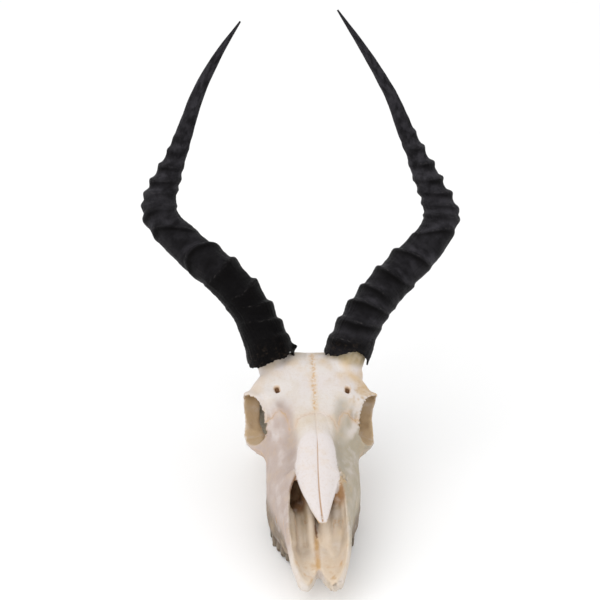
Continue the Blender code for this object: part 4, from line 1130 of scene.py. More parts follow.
class Horn:
    """Centre line, frames and radii of one horn."""

    def __init__(self, path, radii):
        self.line = smooth_line(path, 12)
        steps = np.linalg.norm(np.diff(self.line, axis=0), axis=1)
        self.distance = np.concatenate([[0], np.cumsum(steps)])
        self.length = self.distance[-1]
        self.radii = np.array(radii)
        self.first_direction = self.line[1] - self.line[0]
        self.first_direction /= np.linalg.norm(self.first_direction)

    def centre(self, s):
        """Return the points of the centre line at distances s, also before its start."""
        points = np.column_stack([np.interp(s, self.distance, self.line[:, axis]) for axis in range(3)])
        return points + np.minimum(s, 0)[:, None] * self.first_direction

    def frames(self, s):
        """Return the front and side directions square to the eased centre line at distances s."""
        along = self.centre(np.minimum(s + FRAME_REACH, self.length)) - self.centre(s - FRAME_REACH)
        along /= np.linalg.norm(along, axis=1)[:, None]
        front = np.array((0.0, -1.0, 0.0)) - along * -along[:, 1:2]
        front /= np.linalg.norm(front, axis=1)[:, None]
        return front, np.cross(along, front)

    def radius(self, s):
        """Return the mean radius of the sheath at distances s."""
        return np.interp(s / self.length, self.radii[:, 0], self.radii[:, 1])


def round_horn(turn, inner, front, outer):
    """Return a value at each turn from those at the inner side, the front and the outer side."""
    back = (inner + outer) / 2
    steady = (inner + front + outer + back) / 4
    once = (front - back) / 2 * np.cos(turn) + (inner - outer) / 2 * np.sin(turn)
    return steady + once + (front + back - inner - outer) / 4 * np.cos(2 * turn)


def noise_on_horn(turn, s, around, along, seed):
    """Return soft noise on a horn, with how fine it is around and along the horn."""
    angle = turn.ravel()
    places = np.column_stack([np.cos(angle) * around, np.sin(angle) * around, s.ravel() * along + seed])
    return np.array([noise.noise(Vector(place)) for place in places]).reshape(s.shape)


def ring_relief(turn, s, length, rings, seed):
    """Return the height of the growth rings above the valleys, their crests, and where painted light and
    painted shade lie on their two sides.
    """
    wobble = noise_on_horn(turn, s, 1.6, 0.03, seed)
    height, crest, light, dark = (np.zeros_like(s) for _ in range(4))
    for inner_s, front_s, outer_s, inner_high, front_high, outer_high in rings:
        gap = s - round_horn(turn, inner_s, front_s, outer_s) - wobble
        high = np.maximum(round_horn(turn, inner_high, front_high, outer_high), 0)
        below, above = LOW_RING_SLOPES if front_s < LOW_RINGS_END * length else HIGH_RING_SLOPES
        height = np.maximum(height, high * bell(gap, np.where(gap < 0, below, above)))
        share = np.minimum(high / 1.6, 1)
        crest = np.maximum(crest, bell(gap, 1.3) * share)
        # Painted light on the tipward side of each ring and painted shade just below its crest
        light = np.maximum(light, bell(gap - 3.6, np.where(gap < 3.6, 1.8, 4.5)) * share)
        dark = np.maximum(dark, bell(gap + 2.4, np.where(gap < -2.4, 4.0, 1.4)) * share)
    return height, crest, light, dark


def eased_along(values, rows):
    """Return values averaged along the horn over some rows."""
    weights = np.hanning(2 * rows + 1)
    weights /= weights.sum()
    before, after = (np.repeat(end, rows, axis=0) for end in (values[:1], values[-1:]))
    padded = np.concatenate([before, values, after])
    return sum(weight * padded[index:index + len(values)] for index, weight in enumerate(weights))


def horn_skin(horn, rings, edge, inner_side, seed, settings):
    """Return the outer skin of a sheath as rows by columns of points, and what the material needs."""
    around = np.linspace(0, 2 * math.pi, settings.sides, endpoint=False)
    s, turns = np.meshgrid(np.linspace(0, horn.length, settings.rows), around, indexing="ij")
    turn = (turns * inner_side + math.pi) % (2 * math.pi) - math.pi
    share = s / horn.length
    lower = np.interp(np.degrees(turn), *np.array(edge, float).T)
    for step, (count, deep) in enumerate(EDGE_RIPPLES, 1):
        lower = lower + deep * np.sin(count * turns + step * seed)
    s = s + lower * np.clip(1 - s / EDGE_REACH, 0, 1)

    height, crest, light, dark = ring_relief(turn, s, horn.length, rings, seed)
    height = height * settings.ring_height
    relief = height - RING_SINK * eased_along(height, settings.rows // 24)
    lumps = noise_on_horn(turn, s, *HORN_LUMPS[1:], 3 * seed)
    wrinkles = noise_on_horn(turn, s, *HORN_WRINKLES[1:], seed)
    fibres = noise_on_horn(turn, s, *HORN_FIBRES[1:], seed)
    uneven = HORN_LUMPS[0] * lumps + HORN_WRINKLES[0] * wrinkles + HORN_FIBRES[0] * fibres
    relief = relief + np.interp(share, *zip(*HORN_SMOOTHER)) * uneven
    if inner_side > 0:
        prong_turn, prong_s, turn_spread, s_spread, prong_height = PRONG
        prong = bell(np.degrees(turn) - prong_turn, turn_spread) * bell(s - prong_s, s_spread)
        relief = relief + prong_height * prong

    flat = s.ravel()
    fronts, asides = horn.frames(flat)
    radius = np.maximum(horn.radius(flat) + relief.ravel(), TIP_RADIUS)[:, None]
    angle = turns.ravel()[:, None]
    points = horn.centre(flat) + radius * (np.cos(angle) * fronts + np.sin(angle) * asides)
    # Painted sheen: greyer towards the tips and on the lit sides of the rings, darker on their shaded sides
    sheen = np.interp(share, *zip(*SHEEN[inner_side])) * (1 + 0.5 * lumps)
    painted_sheen = sheen * (SHEEN_BETWEEN_RINGS + PAINTED_LIGHT_ON_RINGS * light) - PAINTED_SHADE_ON_RINGS * dark * (0.35 + sheen)
    return points.reshape(*s.shape, 3), s, turns, crest, np.clip(painted_sheen, 0, 1)


def horn_hollow(horn, first_s, turns):
    """Return the rows of points inside the foot of a sheath, and how far along each row is."""
    distances = np.linspace(0, HOLLOW_DEPTH, HOLLOW_ROWS)
    rows = []
    for distance, wall in zip(distances, np.interp(distances, *zip(*HOLLOW_WALLS))):
        s = distance + (first_s - distance) * np.clip(1 - distance / EDGE_REACH, 0, 1)
        fronts, asides = horn.frames(s)
        outward = np.cos(turns)[:, None] * fronts + np.sin(turns)[:, None] * asides
        rows.append(horn.centre(s) + (horn.radius(s) - wall)[:, None] * outward)
    return np.array(rows), distances


def build_horn(name, path, radii, rings, edge, inner_side, seed, settings):
    """Build one sheath with its rings, fibres, ragged lower edge and hollow."""
    horn = Horn(path, radii)
    skin, s, turns, crest, painted_sheen = horn_skin(horn, rings, edge, inner_side, seed, settings)
    sides = settings.sides
    hollow, hollow_s = horn_hollow(horn, s[0], turns[0])
    grid = np.concatenate([hollow[::-1], skin])
    bpy.ops.object.select_all(action="DESELECT")
    bpy.ops.mesh.primitive_grid_add(x_subdivisions=sides, y_subdivisions=len(grid) - 1, size=1)
    piece = bpy.context.object
    piece.name = name
    mesh = piece.data
    mesh.name = name
    places = vertex_array(mesh, "co") + 0.5
    column = np.rint(places[:, 0] * sides).astype(int) % sides
    row = np.rint(places[:, 1] * (len(grid) - 1)).astype(int)
    mesh.vertices.foreach_set("co", in_frame(grid[row, column]).ravel())
    grain_s = np.concatenate([np.repeat(hollow_s[::-1, None], sides, axis=1), s])
    around = np.concatenate([np.repeat(turns[:1], HOLLOW_ROWS, axis=0), turns])
    grain = np.stack([np.cos(around), np.sin(around), grain_s / 10], axis=-1)[row, column]
    layer = mesh.attributes.new("grain", "FLOAT_VECTOR", "POINT")
    layer.data.foreach_set("vector", grain.astype(np.float32).ravel())
    padding = np.zeros((HOLLOW_ROWS, sides))
    for measure, values in (("crest", crest), ("painted_sheen", painted_sheen), ("along", s / horn.length)):
        add_measure(mesh, measure, np.concatenate([padding, values])[row, column])
    make_active(piece)
    bpy.ops.object.mode_set(mode="EDIT")
    bpy.ops.mesh.select_all(action="SELECT")
    bpy.ops.mesh.remove_doubles(threshold=0.02 * MM)
    bpy.ops.mesh.select_all(action="DESELECT")
    bpy.ops.mesh.select_non_manifold()
    bpy.ops.mesh.edge_face_add()
    bpy.ops.mesh.select_all(action="SELECT")
    bpy.ops.mesh.normals_make_consistent(inside=False)
    bpy.ops.object.mode_set(mode="OBJECT")
    bpy.ops.object.shade_smooth()
    return piece


def pick(piece, kind, wanted):
    """Select in edit mode the vertices, edges or faces that are wanted, judged by their corner points."""
    bpy.ops.mesh.select_mode(type=kind)
    bpy.ops.mesh.select_all(action="DESELECT")
    shape = bmesh.from_edit_mesh(piece.data)
    if kind == "VERT":
        chosen = [vertex for vertex in shape.verts if wanted([vertex.co])]
    elif kind == "EDGE":
        chosen = [edge for edge in shape.edges if wanted([vertex.co for vertex in edge.verts])]
    else:
        chosen = [face for face in shape.faces if wanted([vertex.co for vertex in face.verts])]
    for item in chosen:
        item.select_set(True)
    bmesh.update_edit_mesh(piece.data)


def runs_along(axis):
    """Return a test for edges that run along an axis."""
    return lambda ends: abs(ends[0][axis] - ends[1][axis]) > 0.9 * (ends[0] - ends[1]).length


def tooth_form(lobes):
    """Model a worn tooth one unit each way, with its worn face at the bottom and its root above."""
    bpy.ops.object.select_all(action="DESELECT")
    bpy.ops.mesh.primitive_cube_add(size=1, location=(0, 0, 0.5))
    bpy.ops.object.transform_apply(location=True, rotation=False, scale=False)
    piece = bpy.context.object
    piece.name = f"tooth_form_{lobes}"
    bpy.ops.object.mode_set(mode="EDIT")
    pick(piece, "EDGE", runs_along(2))
    bpy.ops.mesh.subdivide(number_cuts=3)
    if lobes == 2:
        pick(piece, "EDGE", runs_along(1))
        bpy.ops.mesh.subdivide(number_cuts=3)
        for side, inwards in ((-1, 0.17), (1, -0.10)):
            pick(piece, "VERT", lambda corners: abs(corners[0].y) < 0.05 and side * corners[0].x > 0)
            bpy.ops.transform.translate(value=(inwards, 0, 0))
    for wanted, sizes in (
        (lambda corners: corners[0].z > 0.9, (0.72, 0.8, 1)),
        (lambda corners: 0.65 < corners[0].z < 0.9, (0.86, 0.88, 1)),
        (lambda corners: abs(corners[0].y) > 0.4 and 0.1 < corners[0].z < 0.6, (1.04, 1.0, 1)),
    ):
        pick(piece, "VERT", wanted)
        bpy.ops.transform.resize(value=sizes)
    pick(piece, "FACE", lambda corners: all(corner.z < 0.01 for corner in corners))
    bpy.ops.mesh.inset(thickness=0.05, depth=0)
    bpy.ops.mesh.inset(thickness=0.03, depth=-0.012)
    if lobes == 2:
        for end in (-1, 1):
            pick(piece, "FACE", lambda corners: all(
                corner.z < 0.03 and end * corner.y > -0.01 and max(abs(corner.x), abs(corner.y)) < 0.46
                for corner in corners))
            bpy.ops.mesh.inset(thickness=0.10, depth=0.004)
            bpy.ops.mesh.inset(thickness=0.05, depth=-0.05)
    else:
        bpy.ops.mesh.inset(thickness=0.10, depth=0.004)
        bpy.ops.mesh.inset(thickness=0.08, depth=-0.05)
    bpy.ops.object.mode_set(mode="OBJECT")
    apply_modifier(piece, "SUBSURF", levels=3, render_levels=3)
    points = vertex_array(piece.data, "co")
    low, high = points.min(axis=0), points.max(axis=0)
    points = (points - low) / (high - low) - (0.5, 0.5, 0)
    piece.data.vertices.foreach_set("co", points.ravel())
    x, y, z = np.abs(points).T
    face = smooth_step(0.42, 0.36, x) * smooth_step(0.46, 0.42, y) * (z < 0.16)
    add_measure(piece.data, "worn_face", face)
    add_measure(piece.data, "basin", face * smooth_step(0.008, 0.03, z))
    bpy.ops.object.shade_smooth()
    return piece


def place_tooth(form, tooth, side, settings):
    """Copy a tooth form to its place in the row, with lumps of its own."""
    name, start, end, outer, inner, worn, _ = tooth
    piece = form.copy()
    piece.data = form.data.copy()
    piece.name = f"{name}_{'left' if side < 0 else 'right'}_crown"
    bpy.context.scene.collection.objects.link(piece)
    middle = bent([(side * (outer + inner) / 2, (start + end) / 2, worn)])[0]
    piece.location = placed(middle)
    piece.scale = (side * (outer - inner) * MM, (end - start) * MM, (ROOT_TOP - worn) * MM)
    make_active(piece)
    bpy.ops.object.transform_apply(location=True, rotation=False, scale=True)
    if side < 0:
        bpy.ops.object.mode_set(mode="EDIT")
        bpy.ops.mesh.select_all(action="SELECT")
        bpy.ops.mesh.normals_make_consistent(inside=False)
        bpy.ops.object.mode_set(mode="OBJECT")
    points = vertex_array(piece.data, "co")
    normals = vertex_array(piece.data, "normal")
    lumps = sum(share * noise_at(points / MM, period, side * seed) for period, share, seed in TOOTH_LUMPS)
    on_wall = smooth_step(0.5, 2.5, points[:, 2] / MM - worn) * settings.unevenness
    points += normals * (lumps * on_wall)[:, None]
    points[:, 2] = np.maximum(points[:, 2], 0)
    piece.data.vertices.foreach_set("co", points.ravel())
    return piece


class Nodes:
    """Short ways to add shader nodes to one material."""

    def __init__(self, name):
        self.material = bpy.data.materials.new(name)
        self.material.use_nodes = True
        self.tree = self.material.node_tree
        self.shader = self.tree.nodes["Principled BSDF"]
        self.object_place = self.add("ShaderNodeTexCoord").outputs["Object"]

    def add(self, kind, **settings):
        """Add a node and set its own options."""
        node = self.tree.nodes.new(kind)
        for name, value in settings.items():
            setattr(node, name, value)
        return node

    def put(self, socket, value):
        """Link or set the input of a node."""
        if isinstance(value, bpy.types.NodeSocket):
            self.tree.links.new(value, socket)
        else:
            socket.default_value = value

    def measure(self, name, output="Fac"):
        """Return a number, colour or vector kept with the mesh."""
        return self.add("ShaderNodeAttribute", attribute_name=name).outputs[output]

    def math(self, operation, first, second):
        """Return a sum, product or other combination of two numbers."""
        node = self.add("ShaderNodeMath", operation=operation)
        self.put(node.inputs[0], first)
        self.put(node.inputs[1], second)
        return node.outputs[0]

    def ramp(self, value, low, high, from_low=0.0, to_high=1.0):
        """Return a value mapped smoothly from the range low to high."""
        node = self.add("ShaderNodeMapRange", interpolation_type="SMOOTHSTEP")
        for index, number in enumerate((value, low, high, from_low, to_high)):
            self.put(node.inputs[index], number)
        return node.outputs[0]

    def noise(self, scale, detail, roughness=0.55, vector=None, stretch=None):
        """Return noise over the object's own coordinates, or over another vector."""
        place = vector or self.object_place
        if stretch:
            mapping = self.add("ShaderNodeMapping")
            self.put(mapping.inputs["Vector"], place)
            mapping.inputs["Scale"].default_value = stretch
            place = mapping.outputs[0]
        node = self.add("ShaderNodeTexNoise")
        self.put(node.inputs["Vector"], place)
        node.inputs["Scale"].default_value = scale
        node.inputs["Detail"].default_value = detail
        node.inputs["Roughness"].default_value = roughness
        return node.outputs["Fac"]

    def mix(self, factor, first, second):
        """Return a mix of two colours."""
        node = self.add("ShaderNodeMix", data_type="RGBA")
        self.put(node.inputs[0], factor)
        self.put(node.inputs[6], first)
        self.put(node.inputs[7], second)
        return node.outputs[2]

    def laid(self, tint, over, *weights):
        """Return a colour with another one laid over it, by the product of some weights."""
        weight = weights[0]
        for other in weights[1:]:
            weight = self.math("MULTIPLY", weight, other)
        return self.mix(weight, tint, colour(over))

    def bump(self, height, distance, strength, normal=None):
        """Return a normal that a height has tilted."""
        node = self.add("ShaderNodeBump")
        node.inputs["Distance"].default_value = distance
        node.inputs["Strength"].default_value = strength
        self.put(node.inputs["Height"], height)
        if normal:
            self.put(node.inputs["Normal"], normal)
        return node.outputs[0]


def colour(values):
    """Return a colour with full opacity."""
    return (*tuple(values)[:3], 1.0)


def bone_material(settings):
    """Return dry bleached bone with stained seams, stained rims round the small holes and painted shade
    inside them, over the zone colours of the mesh.
    """
    n = Nodes("dry_bone")
    middle = n.noise(75, 4)
    fine = n.noise(430, 4, 0.62)
    pores = n.noise(1500, 2, 0.6)
    seam, frontal, forward = (n.measure(name) for name in ("seam", "frontal_seam", "forward"))
    width = n.ramp(forward, 0.33, 0.75, 1.35, 0.75)
    from_line = n.math("DIVIDE", n.measure("nasal_line"), width)
    tint = n.measure("tint", "Color")
    for over, *weights in (
        (settings.pale_stain, n.ramp(middle, 0.50, 0.72, 0, 0.22)),
        (settings.crust, n.ramp(fine, 0.50, 0.68, 0, 0.14)),
        (settings.nasal_white, n.ramp(middle, 0.46, 0.30, 0, 0.25)),
        (settings.seam_pink, n.ramp(seam, 0.4, 4.0, 0.42, 0.0), n.ramp(middle, 0.3, 0.6, 0.4, 1.0)),
        (settings.pale_stain, n.ramp(frontal, 0.4, 3.4, 0.55, 0.0), n.ramp(fine, 0.36, 0.62, 0.2, 1.0)),
        (settings.hole_rim, n.ramp(n.measure("hole_rim"), 0.25, 0.85, 0, 0.8)),
        (settings.crust, n.ramp(seam, 0.2, 1.2, 0.55, 0.0), n.ramp(middle, 0.38, 0.62, 0.15, 1.0)),
        (settings.braid, n.ramp(frontal, 0.1, 1.1, 0.7, 0.0), n.ramp(fine, 0.44, 0.60, 0.0, 1.0)),
        (settings.stain, n.ramp(from_line, 0.2, 0.85, 0.8, 0.0), n.ramp(forward, 0.86, 0.78, 0.12, 1.0)),
        # Painted shade inside the small holes
        (settings.hole_shade, n.measure("hole")),
    ):
        tint = n.laid(tint, over, *weights)
    n.put(n.shader.inputs["Base Color"], tint)
    n.put(n.shader.inputs["Roughness"], n.ramp(fine, 0.3, 0.7, 0.52, 0.74))
    n.shader.inputs["Specular IOR Level"].default_value = 0.3
    relief = n.bump(n.ramp(pores, 0.42, 0.6), 0.00012, 0.5)
    n.put(n.shader.inputs["Normal"], n.bump(fine, 0.0006, 0.5, relief))
    return n.material


def horn_material(settings):
    """Return near-black keratin with painted sheen, long fibres with painted highlight streaks, scratched
    crests with painted highlights and a brownish lower edge.
    """
    n = Nodes("dark_keratin")
    grain = n.measure("grain", "Vector")
    fibres = n.noise(9, 4, 0.6, grain, (3.0, 3.0, 0.10))
    fine = n.noise(30, 3, 0.6, grain, (3.0, 3.0, 0.14))
    patches = n.noise(1.2, 4, 0.6, grain)
    nicks = n.noise(5, 3, 0.7, grain, (1.0, 1.0, 2.6))
    crusty = n.noise(3.4, 4, 0.65, grain, (1.6, 1.6, 1.3))
    # Painted sheen, mottled by patches
    painted_sheen = n.math("MULTIPLY", n.measure("painted_sheen"), n.ramp(patches, 0.32, 0.66, 0.4, 1.35))
    streaky = n.ramp(patches, 0.45, 0.65, 0.05, 0.7)
    on_crests = n.ramp(n.measure("crest"), 0.35, 0.9)
    at_edge = n.ramp(n.measure("along"), 0.0, 0.06, 1.0, 0.0)
    tint = n.mix(painted_sheen, colour(settings.keratin), colour(settings.keratin_sheen))
    for over, *weights in (
        # Paler fibres with painted highlight streaks, strongest where the sheen is
        (settings.keratin_fibres_and_glints, n.ramp(fine, 0.54, 0.72), streaky, n.ramp(painted_sheen, 0.0, 0.6, 0.12, 0.65)),
        # Pale nicks with painted highlights along the crests
        (settings.keratin_nicks_and_glints, on_crests, n.ramp(nicks, 0.55, 0.66), 0.3),
        (settings.keratin_brown, at_edge, n.ramp(crusty, 0.50, 0.68), 0.45),
    ):
        tint = n.laid(tint, over, *weights)
    n.put(n.shader.inputs["Base Color"], tint)
    n.put(n.shader.inputs["Roughness"], n.ramp(fibres, 0.3, 0.7, 0.34, 0.54))
    n.shader.inputs["Specular IOR Level"].default_value = 0.05
    relief = n.bump(fibres, 0.0014, 0.8)
    n.put(n.shader.inputs["Normal"], n.bump(fine, 0.0004, 0.7, relief))
    return n.material


def tooth_material(settings):
    """Return stained enamel with brown dentine in the basins of the worn face."""
    n = Nodes("cheek_tooth")
    broad = n.noise(120, 3)
    lines = n.noise(500, 3, 0.6, None, (1.0, 1.0, 0.25))
    place = n.add("ShaderNodeSeparateXYZ")
    n.put(place.inputs[0], n.object_place)
    height = place.outputs[2]
    tint = n.mix(n.ramp(broad, 0.35, 0.65), colour(settings.enamel), colour(settings.enamel_grey))
    tint = n.laid(tint, settings.tooth_stain, n.ramp(height, 0.006, 0.013), 0.75)
    tint = n.laid(tint, settings.tooth_stain, n.ramp(lines, 0.5, 0.68), 0.7)
    tint = n.laid(tint, settings.dentine, n.measure("basin"), n.measure("worn_face"))
    n.put(n.shader.inputs["Base Color"], tint)
    n.put(n.shader.inputs["Roughness"], n.ramp(broad, 0.3, 0.7, 0.28, 0.45))
    n.put(n.shader.inputs["Normal"], n.bump(lines, 0.0004, 0.6))
    return n.material


def colour_property(name, description, value):
    """Return a colour property with its default."""
    return FloatVectorProperty(
        name=name, description=description, subtype="COLOR", size=3, min=0, max=1, default=value)


def size_property(name, description, value):
    """Return a length property with its default, given in millimetres."""
    return FloatProperty(name=name, description=description, default=value * MM, unit="LENGTH")


class BoneSettings(PropertyGroup):
    """Sizes and colours of the bone."""

    first_voxel: size_property("First grid", "Grid of the first fused form", 2.0)
    voxel: size_property("Grid", "Grid of the finished surface before it is refined", 1.68)
    smooth_steps: IntProperty(name="Smoothing", description="Rounds of easing the fused surface", default=6)
    seam_depth: size_property("Seam depth", "Depth of the seams between bones", 0.45)
    unevenness: size_property("Unevenness", "Height of the soft lumps of real bone", 0.6)
    rim_chips: size_property("Rim chips", "Depth of the scallops on the brow", 2.2)
    cream: colour_property("Cream", "Main colour of the bleached bone", (0.69, 0.64, 0.605))
    rosy: colour_property("Rosy", "Slightly rosy patches", (0.68, 0.62, 0.60))
    warm_cream: colour_property("Warm cream", "Yellower patches", (0.61, 0.52, 0.415))
    # Whiter nasal bones with a painted highlight on their arched tops
    nasal_white: colour_property("Nasal white", "Bright nasal bones", (0.705, 0.65, 0.635))
    # Painted shade on the left and right sides of the face
    pink_side: colour_property("Pinkish side", "Left side of the face", (0.455, 0.365, 0.325))
    green_side: colour_property("Greenish side", "Right side of the face", (0.395, 0.345, 0.262))
    # Painted shade in the valleys beside the bridge of the nose
    pink_valley: colour_property("Pinkish valley", "Left valley beside the nose", (0.40, 0.32, 0.285))
    grey_valley: colour_property("Greyish valley", "Right valley beside the nose", (0.36, 0.32, 0.255))
    # Painted shade on the low sides of the face above the cheek teeth
    low_stain: colour_property("Low stain", "Stained bone above the cheek teeth", (0.20, 0.155, 0.115))
    # Dirt with painted shade on the bone just below the horns
    neck_olive: colour_property("Neck", "Dirty bone under the lower edge of the horns", (0.30, 0.235, 0.13))
    pale_stain: colour_property("Pale stain", "Yellowish stain", (0.66, 0.49, 0.30))
    hole_rim: colour_property("Hole rim", "Orange stain round the small holes", (0.66, 0.42, 0.20))
    # Painted shade inside the small holes, brownish
    hole_shade: colour_property("Hole depth", "Brown inside the small holes", (0.16, 0.075, 0.03))
    braid: colour_property("Braid", "Orange stain of the frontal seam", (0.56, 0.34, 0.16))
    seam_pink: colour_property("Seam halo", "Faint tint beside the seams", (0.62, 0.46, 0.36))
    stain: colour_property("Stain", "Brown stain in seams", (0.42, 0.22, 0.09))
    crust: colour_property("Crust", "Rough stained edges", (0.50, 0.33, 0.16))
    socket_tan: colour_property("Socket", "Inside of the eye sockets", (0.47, 0.34, 0.21))
    socket_brown: colour_property("Socket top", "Upper part of the eye sockets", (0.25, 0.15, 0.06))
    # Painted shade on the inner wall of the eye sockets and in the fossa behind them
    socket_grey: colour_property("Socket depth", "Inner wall of the eye sockets", (0.24, 0.23, 0.175))
    # Tan inside of the nose with painted shade of its hollow
    nose_tan: colour_property("Nose", "Inside of the nose", (0.29, 0.215, 0.135))
    nose_cream: colour_property("Nose cream", "Lighter walls and floor of the nose", (0.72, 0.61, 0.49))
    nose_strip: colour_property("Nose strip", "Orange stain along the middle and edges", (0.56, 0.345, 0.155))
    nose_orange: colour_property("Nose orange", "Orange-brown stain inside the nose", (0.27, 0.13, 0.045))
    # Painted shade deep inside the nose
    nose_brown: colour_property("Nose depth", "Deep inside the nose", (0.22, 0.115, 0.055))


class HornSettings(PropertyGroup):
    """Sizes and colours of the horn sheaths."""

    rows: IntProperty(name="Rows", description="Sections along a sheath", default=560)
    sides: IntProperty(name="Sides", description="Columns round a sheath", default=128)
    ring_height: FloatProperty(
        name="Ring height", description="Share of the growth rings' measured height", default=1.15)
    keratin: colour_property("Keratin", "Main colour of the horn", (0.0020, 0.0016, 0.0018))
    # Painted sheen of the horns
    keratin_sheen: colour_property("Grey keratin", "Greyer patches", (0.037, 0.035, 0.0405))
    # Paler fibres with painted highlight streaks
    keratin_fibres_and_glints: colour_property("Worn keratin", "Paler fibres", (0.070, 0.064, 0.068))
    # Pale nicks with painted highlights on the crests
    keratin_nicks_and_glints: colour_property("Scratches", "Pale nicks on the crests", (0.16, 0.145, 0.14))
    keratin_brown: colour_property("Brown keratin", "Frayed fibres at the lower edge", (0.052, 0.037, 0.026))


class ToothSettings(PropertyGroup):
    """Sizes and colours of the cheek teeth."""

    unevenness: size_property("Unevenness", "Height of the lumps on the walls", 0.18)
    enamel: colour_property("Enamel", "Main colour of the teeth", (0.205, 0.157, 0.110))
    enamel_grey: colour_property("Grey enamel", "Greyer patches", (0.14, 0.118, 0.084))
    tooth_stain: colour_property("Tooth stain", "Brown stain at the roots", (0.15, 0.10, 0.065))
    dentine: colour_property("Dentine", "Basins of the worn face", (0.09, 0.05, 0.028))


class StageSettings(PropertyGroup):
    """Floor and light."""

    floor_size: FloatProperty(name="Floor", description="Width of the floor", default=14.0, unit="LENGTH")
    floor_colour: colour_property("Floor colour", "Colour of the floor", (0.97, 0.97, 0.97))
    key_power: FloatProperty(
        name="Key light", description="Power of the large light", default=28.0, unit="POWER")
    fill_power: FloatProperty(
        name="Fill light", description="Power of the second light", default=2.0, unit="POWER")
    sky: FloatProperty(name="Surroundings", description="Brightness of the plain surroundings", default=0.94)


def camera_axes():
    """Return the right, up and backward directions of the camera."""
    elevation, turn, roll = (math.radians(angle) for angle in (ELEVATION, TURN, ROLL))
    back = Vector((
        math.sin(turn) * math.cos(elevation), -math.cos(turn) * math.cos(elevation), math.sin(elevation),
    ))
    right = (-back).cross(Vector((0, 0, 1))).normalized()
    up = right.cross(-back)
    rolled = math.cos(roll) * right + math.sin(roll) * up
    upright = -math.sin(roll) * right + math.cos(roll) * up
    return rolled, upright, back


class SKULL_OT_stage(Operator):
    """Add the floor, the lights and the camera"""

    bl_idname = "skull.stage"
    bl_label = "Stage"

    def execute(self, context):
        settings = context.scene.skull_stage
        bpy.ops.object.select_all(action="DESELECT")
        bpy.ops.mesh.primitive_plane_add(size=settings.floor_size, location=(0, 0, 0))
        floor = context.object
        floor.name = "floor"
        n = Nodes("pale_floor")
        n.shader.inputs["Base Color"].default_value = colour(settings.floor_colour)
        n.shader.inputs["Roughness"].default_value = 0.9
        n.shader.inputs["Specular IOR Level"].default_value = 0.0
        floor.data.materials.append(n.material)

        world = bpy.data.worlds.new("plain")
        world.use_nodes = True
        shade = world.node_tree.nodes["Background"]
        shade.inputs["Color"].default_value = (1, 1, 1, 1)
        shade.inputs["Strength"].default_value = settings.sky
        context.scene.world = world

        for (name, place, size), power in zip(LIGHTS, (settings.key_power, settings.fill_power)):
            light = bpy.data.lights.new(name, "AREA")
            light.energy = power
            light.size = size
            lamp = bpy.data.objects.new(name, light)
            context.scene.collection.objects.link(lamp)
            lamp.location = place
            aim = Vector(LIT_POINT) - lamp.location
            lamp.rotation_euler = aim.to_track_quat("-Z", "Y").to_euler()

        camera = bpy.data.cameras.new("camera")
        camera.sensor_width = SENSOR_WIDTH
        camera.lens = FOCAL_PIXELS / PICTURE_PIXELS * camera.sensor_width
        camera.clip_start, camera.clip_end = CLIP_RANGE
        rig = bpy.data.objects.new("camera", camera)
        context.scene.collection.objects.link(rig)
        right, up, back = camera_axes()
        view = Matrix((right, up, back)).transposed().to_4x4()
        view.translation = placed(TARGET) + (right * ASIDE + up * RAISED + back * DISTANCE) * MM
        rig.matrix_world = view
        context.scene.camera = rig
        context.scene.view_settings.view_transform = "Standard"
        return {"FINISHED"}


class SKULL_OT_bone(Operator):
    """Build the fused bone of the skull with its seams, holes and stains"""

    bl_idname = "skull.bone"
    bl_label = "Bone"

    def execute(self, context):
        settings = context.scene.skull_bone
        piece = new_object("skull_bone", outer_form())
        apply_modifier(piece, "REMESH", mode="VOXEL", voxel_size=settings.first_voxel)
        hollow = nose_hollow()
        hollow_tree = BVHTree.FromBMesh(hollow)
        cut_away(piece, hollow)
        for shape in other_hollows():
            cut_away(piece, shape)
        shape = bmesh.new()
        shape.from_mesh(piece.data)
        add_nasal_bones(shape)
        for path, radii in INSIDE_NOSE.values():
            add_tube(shape, path, radii)
        shape.to_mesh(piece.data)
        shape.free()
        apply_modifier(piece, "REMESH", mode="VOXEL", voxel_size=settings.voxel)
        for _ in range(settings.smooth_steps):
            apply_modifier(piece, "SMOOTH", factor=0.5, iterations=1)
            apply_modifier(piece, "SMOOTH", factor=-0.5, iterations=1)
        if not piece.data.polygons:
            raise RuntimeError("the bone came out empty")
        refine_near_details(piece)
        ease_blades(piece)
        carve(piece, settings)
        add_bone_measures(piece, hollow_tree, settings)
        make_active(piece)
        bpy.ops.object.shade_smooth()
        finish_piece(piece, bone_material(settings), "bone", "cranium")
        return {"FINISHED"}


class SKULL_OT_horns(Operator):
    """Build both ringed horn sheaths"""

    bl_idname = "skull.horns"
    bl_label = "Horns"

    def execute(self, context):
        settings = context.scene.skull_horns
        material = horn_material(settings)
        for name, path, radii, rings, edge, inner_side, seed in (
            ("left", LEFT_HORN, LEFT_RADII, LEFT_RINGS, LEFT_EDGE, 1, 3),
            ("right", RIGHT_HORN, RIGHT_RADII, RIGHT_RINGS, RIGHT_EDGE, -1, 5),
        ):
            piece = build_horn(f"horn_{name}", path, radii, rings, edge, inner_side, seed, settings)
            finish_piece(piece, material, "horn", f"horn_sheath_{name}")
        return {"FINISHED"}


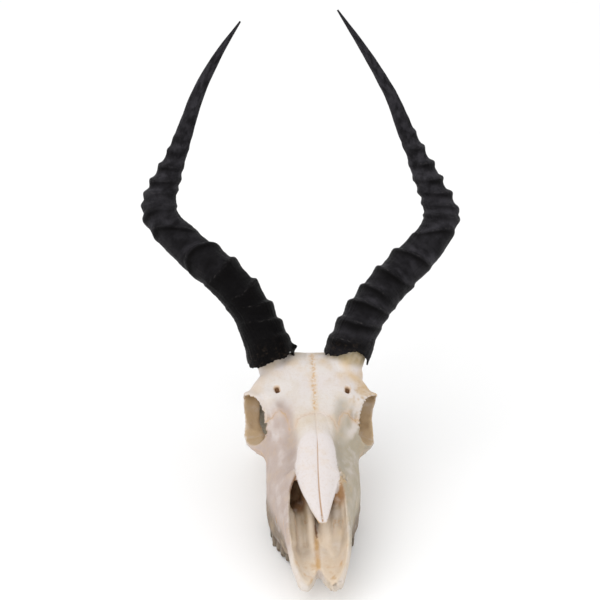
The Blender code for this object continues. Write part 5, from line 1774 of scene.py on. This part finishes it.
class SKULL_OT_teeth(Operator):
    """Build the twelve cheek teeth"""

    bl_idname = "skull.teeth"
    bl_label = "Cheek teeth"

    def execute(self, context):
        settings = context.scene.skull_teeth
        material = tooth_material(settings)
        forms = {lobes: tooth_form(lobes) for lobes in (1, 2)}
        for name, side in (("left", -1), ("right", 1)):
            for tooth in TEETH:
                piece = place_tooth(forms[tooth[-1]], tooth, side, settings)
                finish_piece(piece, material, "tooth", f"{tooth[0]}_{name}")
        for form in forms.values():
            bpy.data.objects.remove(form, do_unlink=True)
        return {"FINISHED"}


class SKULL_PT_sidebar(Panel):
    """List the steps and their settings"""

    bl_idname = "SKULL_PT_sidebar"
    bl_label = "Impala skull"
    bl_space_type = "VIEW_3D"
    bl_region_type = "UI"
    bl_category = "Skull"

    def draw(self, context):
        for step, group in STEPS:
            self.layout.operator(step.bl_idname)
            settings = getattr(context.scene, group)
            for name in settings.__annotations__:
                self.layout.prop(settings, name)


STEPS = (
    (SKULL_OT_stage, "skull_stage"),
    (SKULL_OT_bone, "skull_bone"),
    (SKULL_OT_horns, "skull_horns"),
    (SKULL_OT_teeth, "skull_teeth"),
)
GROUPS = {
    "skull_stage": StageSettings,
    "skull_bone": BoneSettings,
    "skull_horns": HornSettings,
    "skull_teeth": ToothSettings,
}


def register():
    """Register the settings, the steps and the panel."""
    for name, group in GROUPS.items():
        bpy.utils.register_class(group)
        setattr(bpy.types.Scene, name, PointerProperty(type=group))
    for step, _ in STEPS:
        bpy.utils.register_class(step)
    bpy.utils.register_class(SKULL_PT_sidebar)


def unregister():
    """Take back what register did."""
    bpy.utils.unregister_class(SKULL_PT_sidebar)
    for step, _ in reversed(STEPS):
        bpy.utils.unregister_class(step)
    for name, group in GROUPS.items():
        delattr(bpy.types.Scene, name)
        bpy.utils.unregister_class(group)


def main():
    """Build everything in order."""
    register()
    bpy.ops.skull.stage()
    bpy.ops.skull.bone()
    bpy.ops.skull.horns()
    bpy.ops.skull.teeth()


if __name__ == "__main__":
    main()
